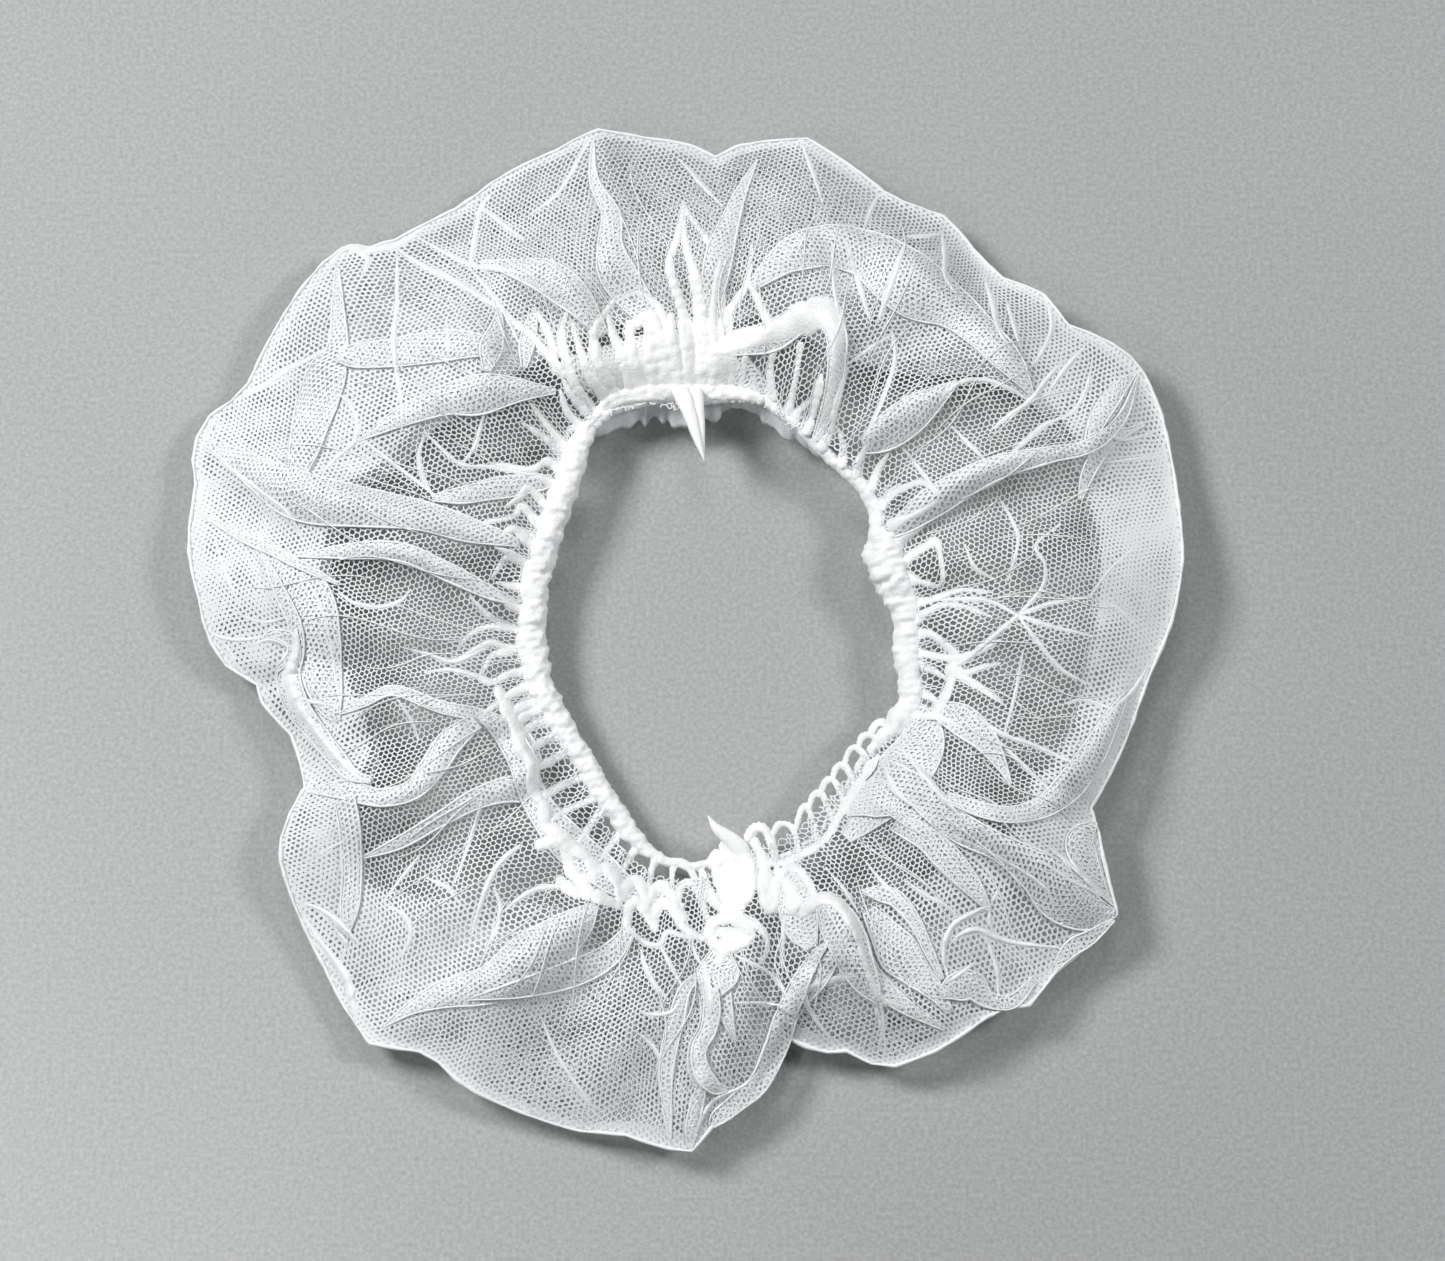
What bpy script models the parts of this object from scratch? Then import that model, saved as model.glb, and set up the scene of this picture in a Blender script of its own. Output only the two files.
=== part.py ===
"""A disposable cap for facial treatments, lying flat: a ruffled ring of fine net on a gathered elastic band.

The net runs from the band out to the rim, turns under there and comes back as a second, lower layer that
lies on the table. Angles are in degrees round the eye, 0 at +X and 90 at +Y. Across is 0 at the net's inner
edge beside the band and 1 at the rim. Shares are of the named sizes at the top.
"""

import math

import bmesh
import bpy
import numpy as np
from mathutils import Vector
from mathutils.bvhtree import BVHTree

# Driving dimensions, in metres
RIM_REACH = 0.142
EYE_REACH = 0.0574
NET_WALL = 0.001
CREST_RISE = 0.013
RIM_LIFT = 0.011
GATHER_DEPTH = 0.0022
RUFFLE_DEPTH = 0.0024
FOLD_RISE = 0.0056
FOLD_WIDTH = 0.010
FOLD_SOFTNESS = 0.0032
BAND_THICKNESS = 0.0056
BAND_LIFT = 0.012
KNOT_WIDTH = 0.023
KNOT_HEIGHT = 0.0075
CORD_THICKNESS = 0.0027
SCALLOP_DEPTH = 0.0020
ROLL_THICKNESS = 0.0036
TAIL_WIDTH = 0.014
TAIL_HEIGHT = 0.0060
CLEARANCE = 0.0003
SEAT_STEP = 0.0008

# How much of a fold's width its crown takes
FOLD_SPREAD = 0.55

# Shares that shape the flat-bottomed sections: how far the pleats draw in, and where the arch meets the flat
PLEAT_SHARE = 0.14
FOOT_SHARE = 0.12
FLAT_SHARE = 0.84

# Counts
GATHERS = 48
COLUMNS_PER_GATHER = 3
BAND_SIDES = 6
KNOT_SIDES = 6
CORD_SIDES = 3
RUFFLES = 11
SCALLOPS = 10
LOOP_STEPS = 3

COLUMNS = GATHERS * COLUMNS_PER_GATHER
COLUMN_ANGLES = np.arange(COLUMNS) * 360.0 / COLUMNS


def rows(columns, *values):
    """A table from the names of its columns and its rows. It comes back as one array for each column."""
    return dict(zip(columns.split(), np.array(values, float).T))


# The rim's outline: its reach from the eye's centre, as shares of RIM_REACH.
RIM = rows(
    "angle reach",
    (2, 0.92), (10, 0.96), (17, 0.985), (28, 1.035), (34, 1.05), (39, 1.02), (42, 0.985), (48, 1.005),
    (53, 0.98), (58, 1.005), (62, 1.035), (69, 1.02), (76, 1.07), (80, 1.105), (87, 1.085), (90, 1.055),
    (93, 1.085), (98, 1.105), (103, 1.135), (107, 1.11), (115, 1.10), (119, 1.085), (129, 1.10),
    (133, 1.155), (139, 1.14), (147, 1.12), (151, 1.11), (156, 1.16), (160, 1.14), (163, 1.11),
    (167, 1.10), (171, 1.08), (175, 1.05), (179, 1.03), (183, 0.985), (185, 0.93), (188, 0.92),
    (192, 0.873), (196, 0.866), (200, 0.873), (202, 0.908), (204, 0.944), (207, 0.972), (212, 0.99),
    (220, 1.014), (226, 1.042), (230, 1.056), (233, 1.028), (236, 1.0), (241, 1.02), (256, 1.014),
    (259, 1.0), (265, 1.02), (267, 1.035), (269, 0.986), (271, 0.95), (276, 0.908), (278, 0.845),
    (280, 0.81), (284, 0.852), (288, 0.866), (291, 0.923), (298, 0.935), (307, 0.93), (309, 0.965),
    (315, 0.95), (325, 0.972), (329, 0.90), (332, 0.866), (335, 0.824), (342, 0.838), (351, 0.86),
    (356, 0.88),
)

# The band's inner edge: its reach from the eye's centre, as shares of EYE_REACH.
EYE = rows(
    "angle reach",
    (2, 0.87), (13, 0.85), (18, 0.82), (28, 0.855), (33, 0.905), (37, 0.975), (42, 1.045), (54, 1.06),
    (67, 1.10), (72, 1.08), (77, 1.15), (84, 1.20), (88, 1.165), (93, 1.13), (97, 1.10), (102, 1.15),
    (106, 1.20), (120, 1.21), (126, 1.15), (133, 1.06), (139, 0.99), (146, 0.94), (156, 0.89),
    (173, 0.86), (187, 0.85), (203, 0.83), (220, 0.835), (229, 0.905), (235, 0.94), (242, 1.01),
    (250, 1.10), (258, 1.15), (266, 1.13), (270, 1.08), (277, 1.01), (282, 0.98), (287, 0.99),
    (296, 0.94), (302, 0.92), (307, 0.89), (319, 0.87), (327, 0.885), (332, 0.905), (338, 0.955),
    (344, 0.955), (350, 0.92), (356, 0.87),
)

# How the ring lies: the band's height as a share of BAND_LIFT, the rim's as a share of RIM_LIFT, the crest
# between them as a share of CREST_RISE, and how far across the ring the lower layer ends.
LIE = rows(
    "angle band rim crest under",
    (5, 1.00, 1.30, 1.00, 0.69), (24, 1.05, 1.25, 1.00, 0.69), (43, 1.15, 1.10, 1.05, 0.64),
    (60, 1.25, 0.95, 1.10, 0.34), (90, 1.35, 0.85, 1.10, 0.30), (120, 1.25, 0.80, 1.00, 0.30),
    (140, 1.10, 0.80, 0.95, 0.40), (160, 0.95, 0.85, 0.90, 0.55), (182, 0.90, 0.85, 0.85, 0.62),
    (204, 0.85, 0.85, 0.85, 0.70), (216, 0.80, 0.80, 0.80, 0.74), (228, 0.75, 0.75, 0.80, 0.48),
    (240, 0.75, 0.75, 0.80, 0.32), (270, 0.75, 0.80, 0.85, 0.30), (300, 0.80, 1.05, 0.95, 0.40),
    (320, 0.85, 1.20, 1.00, 0.48), (338, 0.95, 1.25, 1.00, 0.72), (350, 1.00, 1.30, 1.00, 0.74),
)

# The upper layer's rows from the band to the rim, and the lower layer's rows from the rim inward: how far
# along the layer, and the height as a share of the rim's.
UPPER_ROWS = (0.0, 0.05, 0.12, 0.22, 0.33, 0.45, 0.57, 0.69, 0.80, 0.91, 1.0)
LOWER_ROWS = rows("along height", (0.05, 0.55), (0.22, 0.10), (0.36, 0.0), (1.0, 0.0))

# The main folds of the upper layer. Width is a share of FOLD_WIDTH, rise of FOLD_RISE.
FOLD_COLUMNS = "angle across width rise"
FOLDS = {
    "left_upright": rows(
        FOLD_COLUMNS, (136, 0.90, 0.4, 0.5), (145, 0.76, 1.2, 1.0), (155, 0.68, 1.1, 1.0), (159, 0.67, 0.6, 0.6)
    ),
    "left_shelf": rows(FOLD_COLUMNS, (142, 0.72, 0.8, 0.6), (132, 0.50, 1.0, 0.8), (127, 0.43, 1.0, 0.5)),
    "left_leaf": rows(
        FOLD_COLUMNS, (151, 0.59, 0.5, 0.6), (139, 0.43, 1.0, 1.0), (133, 0.33, 1.1, 1.0), (124, 0.17, 0.5, 0.6)
    ),
    "left_wing": rows(
        FOLD_COLUMNS, (159, 0.96, 0.5, 0.6), (161, 0.66, 1.4, 1.1), (158, 0.32, 1.0, 1.0), (155, 0.05, 0.6, 0.7)
    ),
    "left_crease": rows(FOLD_COLUMNS, (169, 0.66, 0.5, 0.6), (165, 0.36, 0.6, 0.9), (171, 0.03, 0.6, 0.8)),
    "left_roll": rows(FOLD_COLUMNS, (181, 0.72, 0.5, 0.8), (192, 0.91, 0.6, 1.0), (203, 0.66, 0.5, 0.8)),
    "left_arm": rows(FOLD_COLUMNS, (192, 0.77, 0.5, 0.7), (193, 0.44, 0.5, 0.9), (215, 0.13, 0.6, 0.9)),
    "left_hook": rows(FOLD_COLUMNS, (202, 0.27, 0.6, 0.9), (207, 0.43, 0.7, 1.0), (207, 0.61, 0.5, 0.5)),
    "low_left_rib": rows(FOLD_COLUMNS, (205, 0.72, 0.6, 0.6), (219, 0.83, 0.6, 0.6)),
    "low_leaf": rows(
        FOLD_COLUMNS, (231, 0.94, 0.4, 0.5), (238, 0.63, 1.0, 1.1), (246, 0.27, 1.1, 1.1), (255, 0.23, 0.6, 0.7)
    ),
    "low_strand": rows(FOLD_COLUMNS, (292, 0.50, 0.7, 0.9), (282, 0.78, 0.7, 0.8), (278, 0.92, 0.5, 0.5)),
    "low_right_strand": rows(FOLD_COLUMNS, (291, 0.29, 0.8, 1.0), (294, 0.75, 0.7, 0.8), (300, 0.92, 0.5, 0.5)),
    "right_sash": rows(
        FOLD_COLUMNS, (322, 0.04, 0.8, 1.0), (321, 0.26, 1.3, 1.2), (325, 0.71, 1.1, 1.0), (324, 0.96, 0.6, 0.6)
    ),
    "right_spear": rows(FOLD_COLUMNS, (312, 0.10, 0.6, 0.9), (315, 0.36, 0.9, 1.0), (314, 0.66, 0.5, 0.6)),
    "right_tuck": rows(
        FOLD_COLUMNS, (326, 0.42, 0.5, 0.6), (334, 0.81, 0.6, 0.9), (345, 0.87, 0.6, 0.8), (352, 0.96, 0.4, 0.5)
    ),
    "right_petal": rows(FOLD_COLUMNS, (54, 0.08, 0.7, 0.8), (48, 0.34, 1.0, 1.0), (38, 0.60, 0.5, 0.5)),
    "right_ray": rows(
        FOLD_COLUMNS, (34, 0.06, 0.6, 0.9), (31, 0.39, 0.9, 1.0), (27, 0.72, 0.7, 0.8), (32, 0.95, 0.5, 0.7)
    ),
    "top_flap": rows(
        FOLD_COLUMNS, (79, 0.57, 0.7, 0.7), (66, 0.76, 1.5, 1.1), (55, 0.72, 1.4, 1.1), (43, 0.72, 0.7, 0.7)
    ),
    "top_roll": rows(FOLD_COLUMNS, (85, 0.17, 0.8, 1.1), (72, 0.41, 0.8, 1.3), (64, 0.08, 0.8, 0.9)),
    "top_stalk": rows(FOLD_COLUMNS, (103, 0.92, 0.4, 0.5), (103, 0.64, 0.8, 0.9), (105, 0.45, 1.2, 0.9)),
    "top_blade": rows(FOLD_COLUMNS, (85, 0.84, 0.5, 0.6), (89, 0.63, 0.9, 0.9), (92, 0.26, 0.8, 0.9)),
    "top_left_band": rows(FOLD_COLUMNS, (119, 0.63, 0.8, 0.8), (112, 0.42, 1.1, 0.9), (110, 0.25, 0.8, 0.8)),
    "top_bunch": rows(FOLD_COLUMNS, (116, 0.17, 1.2, 1.0), (100, 0.22, 1.4, 1.3), (80, 0.14, 1.2, 1.0)),
}

# The seated pieces, as sections along their length. Widths and heights are shares of the piece's own sizes.
SECTION_COLUMNS = "angle across width height"
TOP_KNOT = rows(
    SECTION_COLUMNS,
    (94.4, 0.29, 0.30, 0.30), (94.7, 0.225, 0.75, 0.70), (95.1, 0.14, 1.00, 1.00), (95.2, 0.05, 0.87, 0.95),
    (94.9, -0.025, 0.50, 0.70), (94.5, -0.10, 0.30, 0.55), (94.1, -0.165, 0.16, 0.38), (93.9, -0.23, 0.04, 0.14),
)
BOTTOM_KNOT = rows(
    SECTION_COLUMNS,
    (276.0, 0.245, 0.26, 0.35), (275.8, 0.17, 0.56, 0.85), (276.4, 0.07, 0.66, 1.00), (276.4, -0.02, 0.62, 0.95),
    (273.6, -0.085, 0.37, 0.65), (270.3, -0.17, 0.22, 0.40), (267.9, -0.22, 0.04, 0.14),
)
TIE_TAIL = rows(
    SECTION_COLUMNS,
    (272.6, 0.275, 0.40, 0.40), (272.6, 0.305, 0.95, 1.00), (272.0, 0.345, 1.00, 0.95), (271.4, 0.385, 0.42, 0.55),
    (271.0, 0.43, 0.80, 0.85), (270.0, 0.475, 0.70, 0.75), (269.3, 0.52, 0.38, 0.50), (268.7, 0.575, 0.30, 0.36),
    (267.7, 0.62, 0.28, 0.33), (267.6, 0.69, 0.27, 0.33), (268.2, 0.775, 0.36, 0.36), (267.9, 0.85, 0.24, 0.33),
    (267.5, 0.93, 0.14, 0.25),
)
SHIRRING_ROUTE = rows(
    "angle across", (199, 0.135), (211, 0.14), (224, 0.165), (237, 0.17), (248, 0.14), (256, 0.11), (266, 0.115)
)
ROLL_SECTIONS = rows(
    SECTION_COLUMNS,
    (286.6, 0.045, 0.60, 0.70), (286.6, 0.14, 0.90, 1.00), (284.6, 0.23, 1.00, 1.00), (283.4, 0.32, 1.10, 1.10),
    (286.0, 0.37, 1.10, 1.10), (288.6, 0.29, 1.00, 1.00), (290.0, 0.20, 0.90, 1.00), (293.2, 0.165, 0.90, 1.00),
    (295.2, 0.25, 0.90, 1.00), (293.6, 0.36, 1.00, 1.00), (296.6, 0.42, 0.90, 0.90), (299.6, 0.37, 0.80, 0.80),
    (302.0, 0.44, 0.50, 0.60),
)


def ring(table, column, angles):
    """A table's column at any angles, its last row joined to its first."""
    return np.interp(angles, table["angle"], table[column], period=360)


def eye_reach(angles):
    """The band's inner edge, with the corners between the table's rows eased."""
    spread = (ring(EYE, "reach", angles - 2) + ring(EYE, "reach", angles + 2)) / 2
    return EYE_REACH * (ring(EYE, "reach", angles) + spread) / 2


def gather_wave(angles):
    """1 on the ridge of each gather and -0.5 on the two columns between ridges."""
    return np.cos(np.radians(angles * GATHERS))


def band_radius(angles):
    return BAND_THICKNESS / 2 * (0.93 + 0.07 * gather_wave(angles))


def band_height(angles):
    return BAND_LIFT * ring(LIE, "band", angles)


def rim_reach(angles):
    return RIM_REACH * ring(RIM, "reach", angles)


def rim_height(angles):
    ruffle = RUFFLE_DEPTH * np.sin(np.radians(angles * RUFFLES))
    return RIM_LIFT * ring(LIE, "rim", angles) + ruffle


def net_start(angles):
    """The net's inner edge, a clearance outside the band."""
    return eye_reach(angles) + 2 * band_radius(angles) + CLEARANCE


def reach_at(angles, across):
    inner = net_start(angles)
    return inner + across * (rim_reach(angles) - inner)


def polar(reach, angles):
    turn = np.radians(angles)
    return np.stack([reach * np.cos(turn), reach * np.sin(turn)], axis=-1)


def plan(angles, across):
    """X and Y of places given by their angle and their share across the ring."""
    return polar(reach_at(angles, across), angles)


def fold_rise(points):
    """How far the folds lift the upper layer at points in plan."""
    rise = np.zeros(points.shape[:-1])
    for fold in FOLDS.values():
        knots = plan(fold["angle"], fold["across"])
        best = np.zeros_like(rise)
        for start in range(len(knots) - 1):
            run = knots[start + 1] - knots[start]
            along = np.clip(((points - knots[start]) @ run) / (run @ run), 0, 1)
            away = np.linalg.norm(points - knots[start] - along[..., None] * run, axis=-1)
            width = FOLD_WIDTH * (fold["width"][start] * (1 - along) + fold["width"][start + 1] * along)
            share = fold["rise"][start] * (1 - along) + fold["rise"][start + 1] * along
            spread = np.hypot(FOLD_SPREAD * width, FOLD_SOFTNESS)
            best = np.maximum(best, FOLD_RISE * share * np.exp(-((away / spread) ** 2)))
        rise = np.maximum(rise, best)
    return rise


def upper_height(angles, across):
    """The height of the upper layer: band to crest to rim, with its gathers, ruffles and folds."""
    base = band_height(angles) * (1 - across) + rim_height(angles) * across
    belly = CREST_RISE * ring(LIE, "crest", angles) * np.sin(np.pi * across**0.85)
    gathers = GATHER_DEPTH * gather_wave(angles) * np.clip(across / 0.05, 0, 1) * np.clip(1 - across / 0.5, 0, 1)
    ruffles = RUFFLE_DEPTH * np.sin(np.radians(angles * RUFFLES * 2) + 5 * across) * np.sin(np.pi * across)
    fade = np.clip(across / 0.05, 0, 1) * np.clip((1 - across) / 0.06, 0, 1)
    return base + belly + gathers + ruffles + fade * fold_rise(plan(angles, across))


def new_material(name, colour, roughness):
    material = bpy.data.materials.new(name)
    material.use_nodes = True
    shader = material.node_tree.nodes["Principled BSDF"]
    shader.inputs["Base Color"].default_value = (*colour, 1)
    shader.inputs["Roughness"].default_value = roughness
    shader.inputs["Metallic"].default_value = 0.0
    return material


def skinned(name, sections, material, closed, solid=True):
    """An object from equal sections, each joined to the next. Solid sections are loops, open ones are lines."""
    mesh = bmesh.new()
    loops = [[mesh.verts.new(point) for point in section] for section in sections]
    pairs = list(zip(loops, loops[1:] + loops[:1])) if closed else list(zip(loops, loops[1:]))
    count = len(loops[0])
    for first, second in pairs:
        for index in range(count if solid else count - 1):
            following = (index + 1) % count
            mesh.faces.new((first[index], first[following], second[following], second[index]))
    if solid and not closed:
        mesh.faces.new(loops[0])
        mesh.faces.new(loops[-1])
    bmesh.ops.recalc_face_normals(mesh, faces=mesh.faces)
    data = bpy.data.meshes.new(name)
    mesh.to_mesh(data)
    mesh.free()
    data.shade_smooth()
    data.materials.append(material)
    made = bpy.data.objects.new(name, data)
    collection.objects.link(made)
    made.parent = cap_origin
    return made


def net_ruffle():
    """The net: one line of points for each column, from the band over the crest, round the rim and back."""
    across = np.array(UPPER_ROWS)[:, None]
    angles = COLUMN_ANGLES[None, :]
    upper = plan(angles, across)
    lines = [np.dstack([upper, upper_height(angles, across)])]
    ends = ring(LIE, "under", angles)
    under = 1 - LOWER_ROWS["along"][:, None] * (1 - ends)
    lower = plan(angles, under)
    lines.append(np.dstack([lower, rim_height(angles) * LOWER_ROWS["height"][:, None]]))
    grid = np.concatenate(lines)
    made = skinned("net_ruffle", np.swapaxes(grid, 0, 1), net_white, closed=True, solid=False)
    wall = made.modifiers.new("wall", "SOLIDIFY")
    wall.thickness = NET_WALL
    wall.offset = -1
    wall.use_even_offset = False
    return made


def elastic_band():
    """A six-sided rope round the eye, a little thicker at each gather."""
    sections = []
    for angle in COLUMN_ANGLES:
        radius = float(band_radius(angle))
        middle = float(eye_reach(angle)) + radius
        turn = math.radians(angle)
        section = []
        for side in range(BAND_SIDES):
            tilt = 2 * math.pi * side / BAND_SIDES
            reach = middle + radius * math.cos(tilt)
            height = float(band_height(angle)) + radius * math.sin(tilt)
            section.append((reach * math.cos(turn), reach * math.sin(turn), height))
        sections.append(section)
    return skinned("elastic_band", sections, band_white, closed=True)


def tree_of(made):
    """The object's evaluated surface, for dropping pieces onto it."""
    bpy.context.view_layer.update()
    return BVHTree.FromObject(made, bpy.context.evaluated_depsgraph_get())


def seat_height(trees, x, y, reach):
    """The highest point of the carriers within a square round a place, or None over the open eye."""
    found = []
    steps = np.linspace(-reach, reach, 2 * math.ceil(reach / SEAT_STEP) + 1)
    for step_x in steps:
        for step_y in steps:
            above = Vector((x + step_x, y + step_y, 1.0))
            for tree in trees:
                place = tree.ray_cast(above, Vector((0, 0, -1)))[0]
                if place is not None:
                    found.append(place.z)
    return max(found) if found else None


def arch_section(middle, sideways, width, height, base, sides):
    """A flat-bottomed section: a pleated arch, its ends a little above the flat, then the flat's two corners."""
    section = []
    for side in range(sides + 1):
        turn = math.pi * side / sides
        pleat = 1 - PLEAT_SHARE * (side % 2)
        place = middle + sideways * (width / 2 * math.cos(turn) * pleat)
        rise = height * max(math.sin(turn) * pleat, FOOT_SHARE)
        section.append((place.x, place.y, base + rise))
    foot = sideways * (width / 2 * FLAT_SHARE)
    section.append((*(middle - foot).xy, base))
    section.append((*(middle + foot).xy, base))
    return section


def eased(values, steps):
    """Values read from a smooth curve through the given ones, at this many steps from each to the next."""
    padded = np.concatenate([[2 * values[0] - values[1]], values, [2 * values[-1] - values[-2]]])
    found = []
    for index in range(len(values) - 1):
        first, second, third, fourth = padded[index : index + 4]
        for share in np.arange(steps) / steps:
            pull = (third - first) * share + (2 * first - 5 * second + 4 * third - fourth) * share**2
            found.append(second + (pull + (3 * second - first - 3 * third + fourth) * share**3) / 2)
    return np.array(found + [values[-1]])


def seated_piece(name, route, widths, heights, trees, material, sides):
    """A body along a route in plan, seated a clearance above whatever carries each of its sections."""
    points = [Vector((x, y, 0)) for x, y in route]
    sections = []
    base = None
    for index, point in enumerate(points):
        before = points[max(index - 1, 0)]
        after = points[min(index + 1, len(points) - 1)]
        ahead = (after - before).normalized()
        sideways = Vector((-ahead.y, ahead.x, 0))
        reach = max(widths[index], (after - before).length) / 2
        found = seat_height(trees, point.x, point.y, reach)
        if found is not None:
            base = found + CLEARANCE
        sections.append(arch_section(point, sideways, widths[index], heights[index], base, sides))
    return skinned(name, sections, material, closed=False)


def knot(name, table, trees):
    route = plan(table["angle"], table["across"])
    widths = KNOT_WIDTH * table["width"]
    heights = KNOT_HEIGHT * table["height"]
    return seated_piece(name, route, widths, heights, trees, band_white, KNOT_SIDES)


def shirring_cord(trees):
    """The second line of gathering: a thin cord that scallops in and out along its route."""
    steps = np.arange(SCALLOPS * 4 + 1)
    angles = np.linspace(SHIRRING_ROUTE["angle"][0], SHIRRING_ROUTE["angle"][-1], len(steps))
    across = np.interp(angles, SHIRRING_ROUTE["angle"], SHIRRING_ROUTE["across"])
    reach = reach_at(angles, across) + SCALLOP_DEPTH * np.sin(steps * math.pi / 2)
    size = np.full(len(steps), CORD_THICKNESS)
    return seated_piece("shirring_cord", polar(reach, angles), size, size, trees, band_white, CORD_SIDES)


def rolled_loops(trees):
    angle, across, width, height = (eased(column, LOOP_STEPS) for column in ROLL_SECTIONS.values())
    widths = ROLL_THICKNESS * width
    heights = ROLL_THICKNESS * height
    return seated_piece("rolled_loops", plan(angle, across), widths, heights, trees, band_white, CORD_SIDES)


def tie_tail(trees):
    route = plan(TIE_TAIL["angle"], TIE_TAIL["across"])
    widths = TAIL_WIDTH * TIE_TAIL["width"]
    heights = TAIL_HEIGHT * TIE_TAIL["height"]
    return seated_piece("tie_tail", route, widths, heights, trees, band_white, KNOT_SIDES)


for old in list(bpy.data.objects):
    bpy.data.objects.remove(old, do_unlink=True)

collection = bpy.data.collections.new("facial_cap")
bpy.context.scene.collection.children.link(collection)
net_white = new_material("net_white", (0.88, 0.91, 0.92), 0.65)
band_white = new_material("band_white", (0.95, 0.96, 0.96), 0.75)

# The part's origin is under the middle of its outline, so the eye's centre stands off it.
cap_origin = bpy.data.objects.new("cap_origin", None)
collection.objects.link(cap_origin)
rim_points = plan(COLUMN_ANGLES, np.ones(COLUMNS))
outline_middle = (rim_points.min(axis=0) + rim_points.max(axis=0)) / 2
cap_origin.location = (-outline_middle[0], -outline_middle[1], 0)

net = net_ruffle()
band = elastic_band()
carriers = [tree_of(net), tree_of(band)]
knot("top_knot", TOP_KNOT, carriers)
carriers.append(tree_of(knot("bottom_knot", BOTTOM_KNOT, carriers)))
carriers.append(tree_of(shirring_cord(carriers)))
carriers.append(tree_of(rolled_loops(carriers)))
tie_tail(carriers)
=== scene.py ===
# %% [markdown]
# # A gathered net cap
# The object is a disposable cap for facial treatments: one sheet of very fine white net, gathered on a round
# elastic and turned under at its rim. It lies on a table like a ruffled ring. The solid model gives its size
# and where each layer lies, so everything here starts from that frame.

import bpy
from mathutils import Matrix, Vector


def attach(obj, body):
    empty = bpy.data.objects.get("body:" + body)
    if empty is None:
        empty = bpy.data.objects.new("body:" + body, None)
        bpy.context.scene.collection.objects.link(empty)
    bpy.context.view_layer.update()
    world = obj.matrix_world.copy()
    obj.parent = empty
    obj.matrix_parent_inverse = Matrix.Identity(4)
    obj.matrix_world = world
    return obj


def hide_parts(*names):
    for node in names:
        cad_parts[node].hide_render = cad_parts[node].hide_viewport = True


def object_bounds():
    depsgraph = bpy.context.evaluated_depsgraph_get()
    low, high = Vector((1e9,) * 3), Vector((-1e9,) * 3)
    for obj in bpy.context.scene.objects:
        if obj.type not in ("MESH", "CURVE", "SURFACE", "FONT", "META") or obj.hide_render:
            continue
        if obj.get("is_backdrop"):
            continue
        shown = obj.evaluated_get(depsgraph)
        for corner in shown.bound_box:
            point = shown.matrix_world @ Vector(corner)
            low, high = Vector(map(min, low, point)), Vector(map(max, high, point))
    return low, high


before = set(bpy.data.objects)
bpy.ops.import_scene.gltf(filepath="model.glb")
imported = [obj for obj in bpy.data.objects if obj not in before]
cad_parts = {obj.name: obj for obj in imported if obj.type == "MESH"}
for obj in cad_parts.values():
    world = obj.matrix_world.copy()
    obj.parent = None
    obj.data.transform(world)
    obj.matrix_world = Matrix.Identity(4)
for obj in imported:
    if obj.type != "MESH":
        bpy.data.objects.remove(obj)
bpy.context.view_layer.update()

# %% [markdown]
# ## Measuring the solid model
# The net's solid has one column of points every 2.5 degrees round the eye. From these columns come the reach
# of the rim, the reach of the net's inner edge and the place where the turned-under layer ends. Measuring
# keeps this script in step with the solids, where copied numbers would drift from them.

# %% Angles and reaches round the eye
import math

import bpy
import numpy as np
from mathutils import Vector
from mathutils.bvhtree import BVHTree

MM = 0.001
EYE_CENTRE = np.array((8.91, -5.92)) * MM
COLUMN_STEP = 2.5
COLUMN_ANGLES = np.arange(0, 360, COLUMN_STEP)


def to_polar(places):
    """Reach from the eye's centre, and angle in degrees."""
    away = places[..., :2] - EYE_CENTRE
    return np.hypot(away[..., 0], away[..., 1]), np.degrees(np.arctan2(away[..., 1], away[..., 0])) % 360


def from_polar(reach, angle):
    turn = np.radians(angle)
    return EYE_CENTRE + np.stack([reach * np.cos(turn), reach * np.sin(turn)], axis=-1)


def ring(values, angle):
    """A value given at each column, read at any angle."""
    return np.interp(angle, COLUMN_ANGLES, values, period=360)


def solid_points(node):
    return np.array([corner.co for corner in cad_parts[node].data.vertices])


def at_columns(points, pick):
    """One value for each column, picked from the reaches of its points."""
    reach, angle = to_polar(points)
    column = np.round(angle / COLUMN_STEP).astype(int) % len(COLUMN_ANGLES)
    return np.array([pick(reach[column == number]) for number in range(len(COLUMN_ANGLES))])


net_points = solid_points("net_ruffle")
band_points = solid_points("elastic_band")
FLAT_ON_TABLE = 0.5 * MM
RIM_REACH = at_columns(net_points, np.max)
NET_START = at_columns(net_points, np.min)
UNDER_REACH = at_columns(net_points[net_points[:, 2] < FLAT_ON_TABLE], np.min)
BAND_INSIDE = at_columns(band_points, np.min)
BAND_OUTSIDE = at_columns(band_points, np.max)
print("rim reach, mm:", (RIM_REACH.min() / MM).round(1), "to", (RIM_REACH.max() / MM).round(1))
print("eye reach, mm:", (BAND_INSIDE.min() / MM).round(1), "to", (BAND_INSIDE.max() / MM).round(1))


def rim_at(angle):
    return ring(RIM_REACH, angle)


def start_at(angle):
    return ring(NET_START, angle)


# %% [markdown]
# ## How high each layer lies
# A ray from above meets the upper layer, and one from below the layer that is turned under. Both heights are
# kept on a grid of angles, and of shares of the way from the eye to the rim. Averaging takes the solid's
# facets away, because cloth has none. At the top of the eye the tied bunch draws the net down, so that the
# bunch lies nearly level, as the light on it in the photo says.

# %% Heights of the two layers and the band
HEIGHT_ANGLES = 288
HEIGHT_SHARES = 49
EDGE_SHARE = 0.012
SOFTENINGS = 3


def tree_of(node):
    return BVHTree.FromObject(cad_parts[node], bpy.context.evaluated_depsgraph_get())


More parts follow.
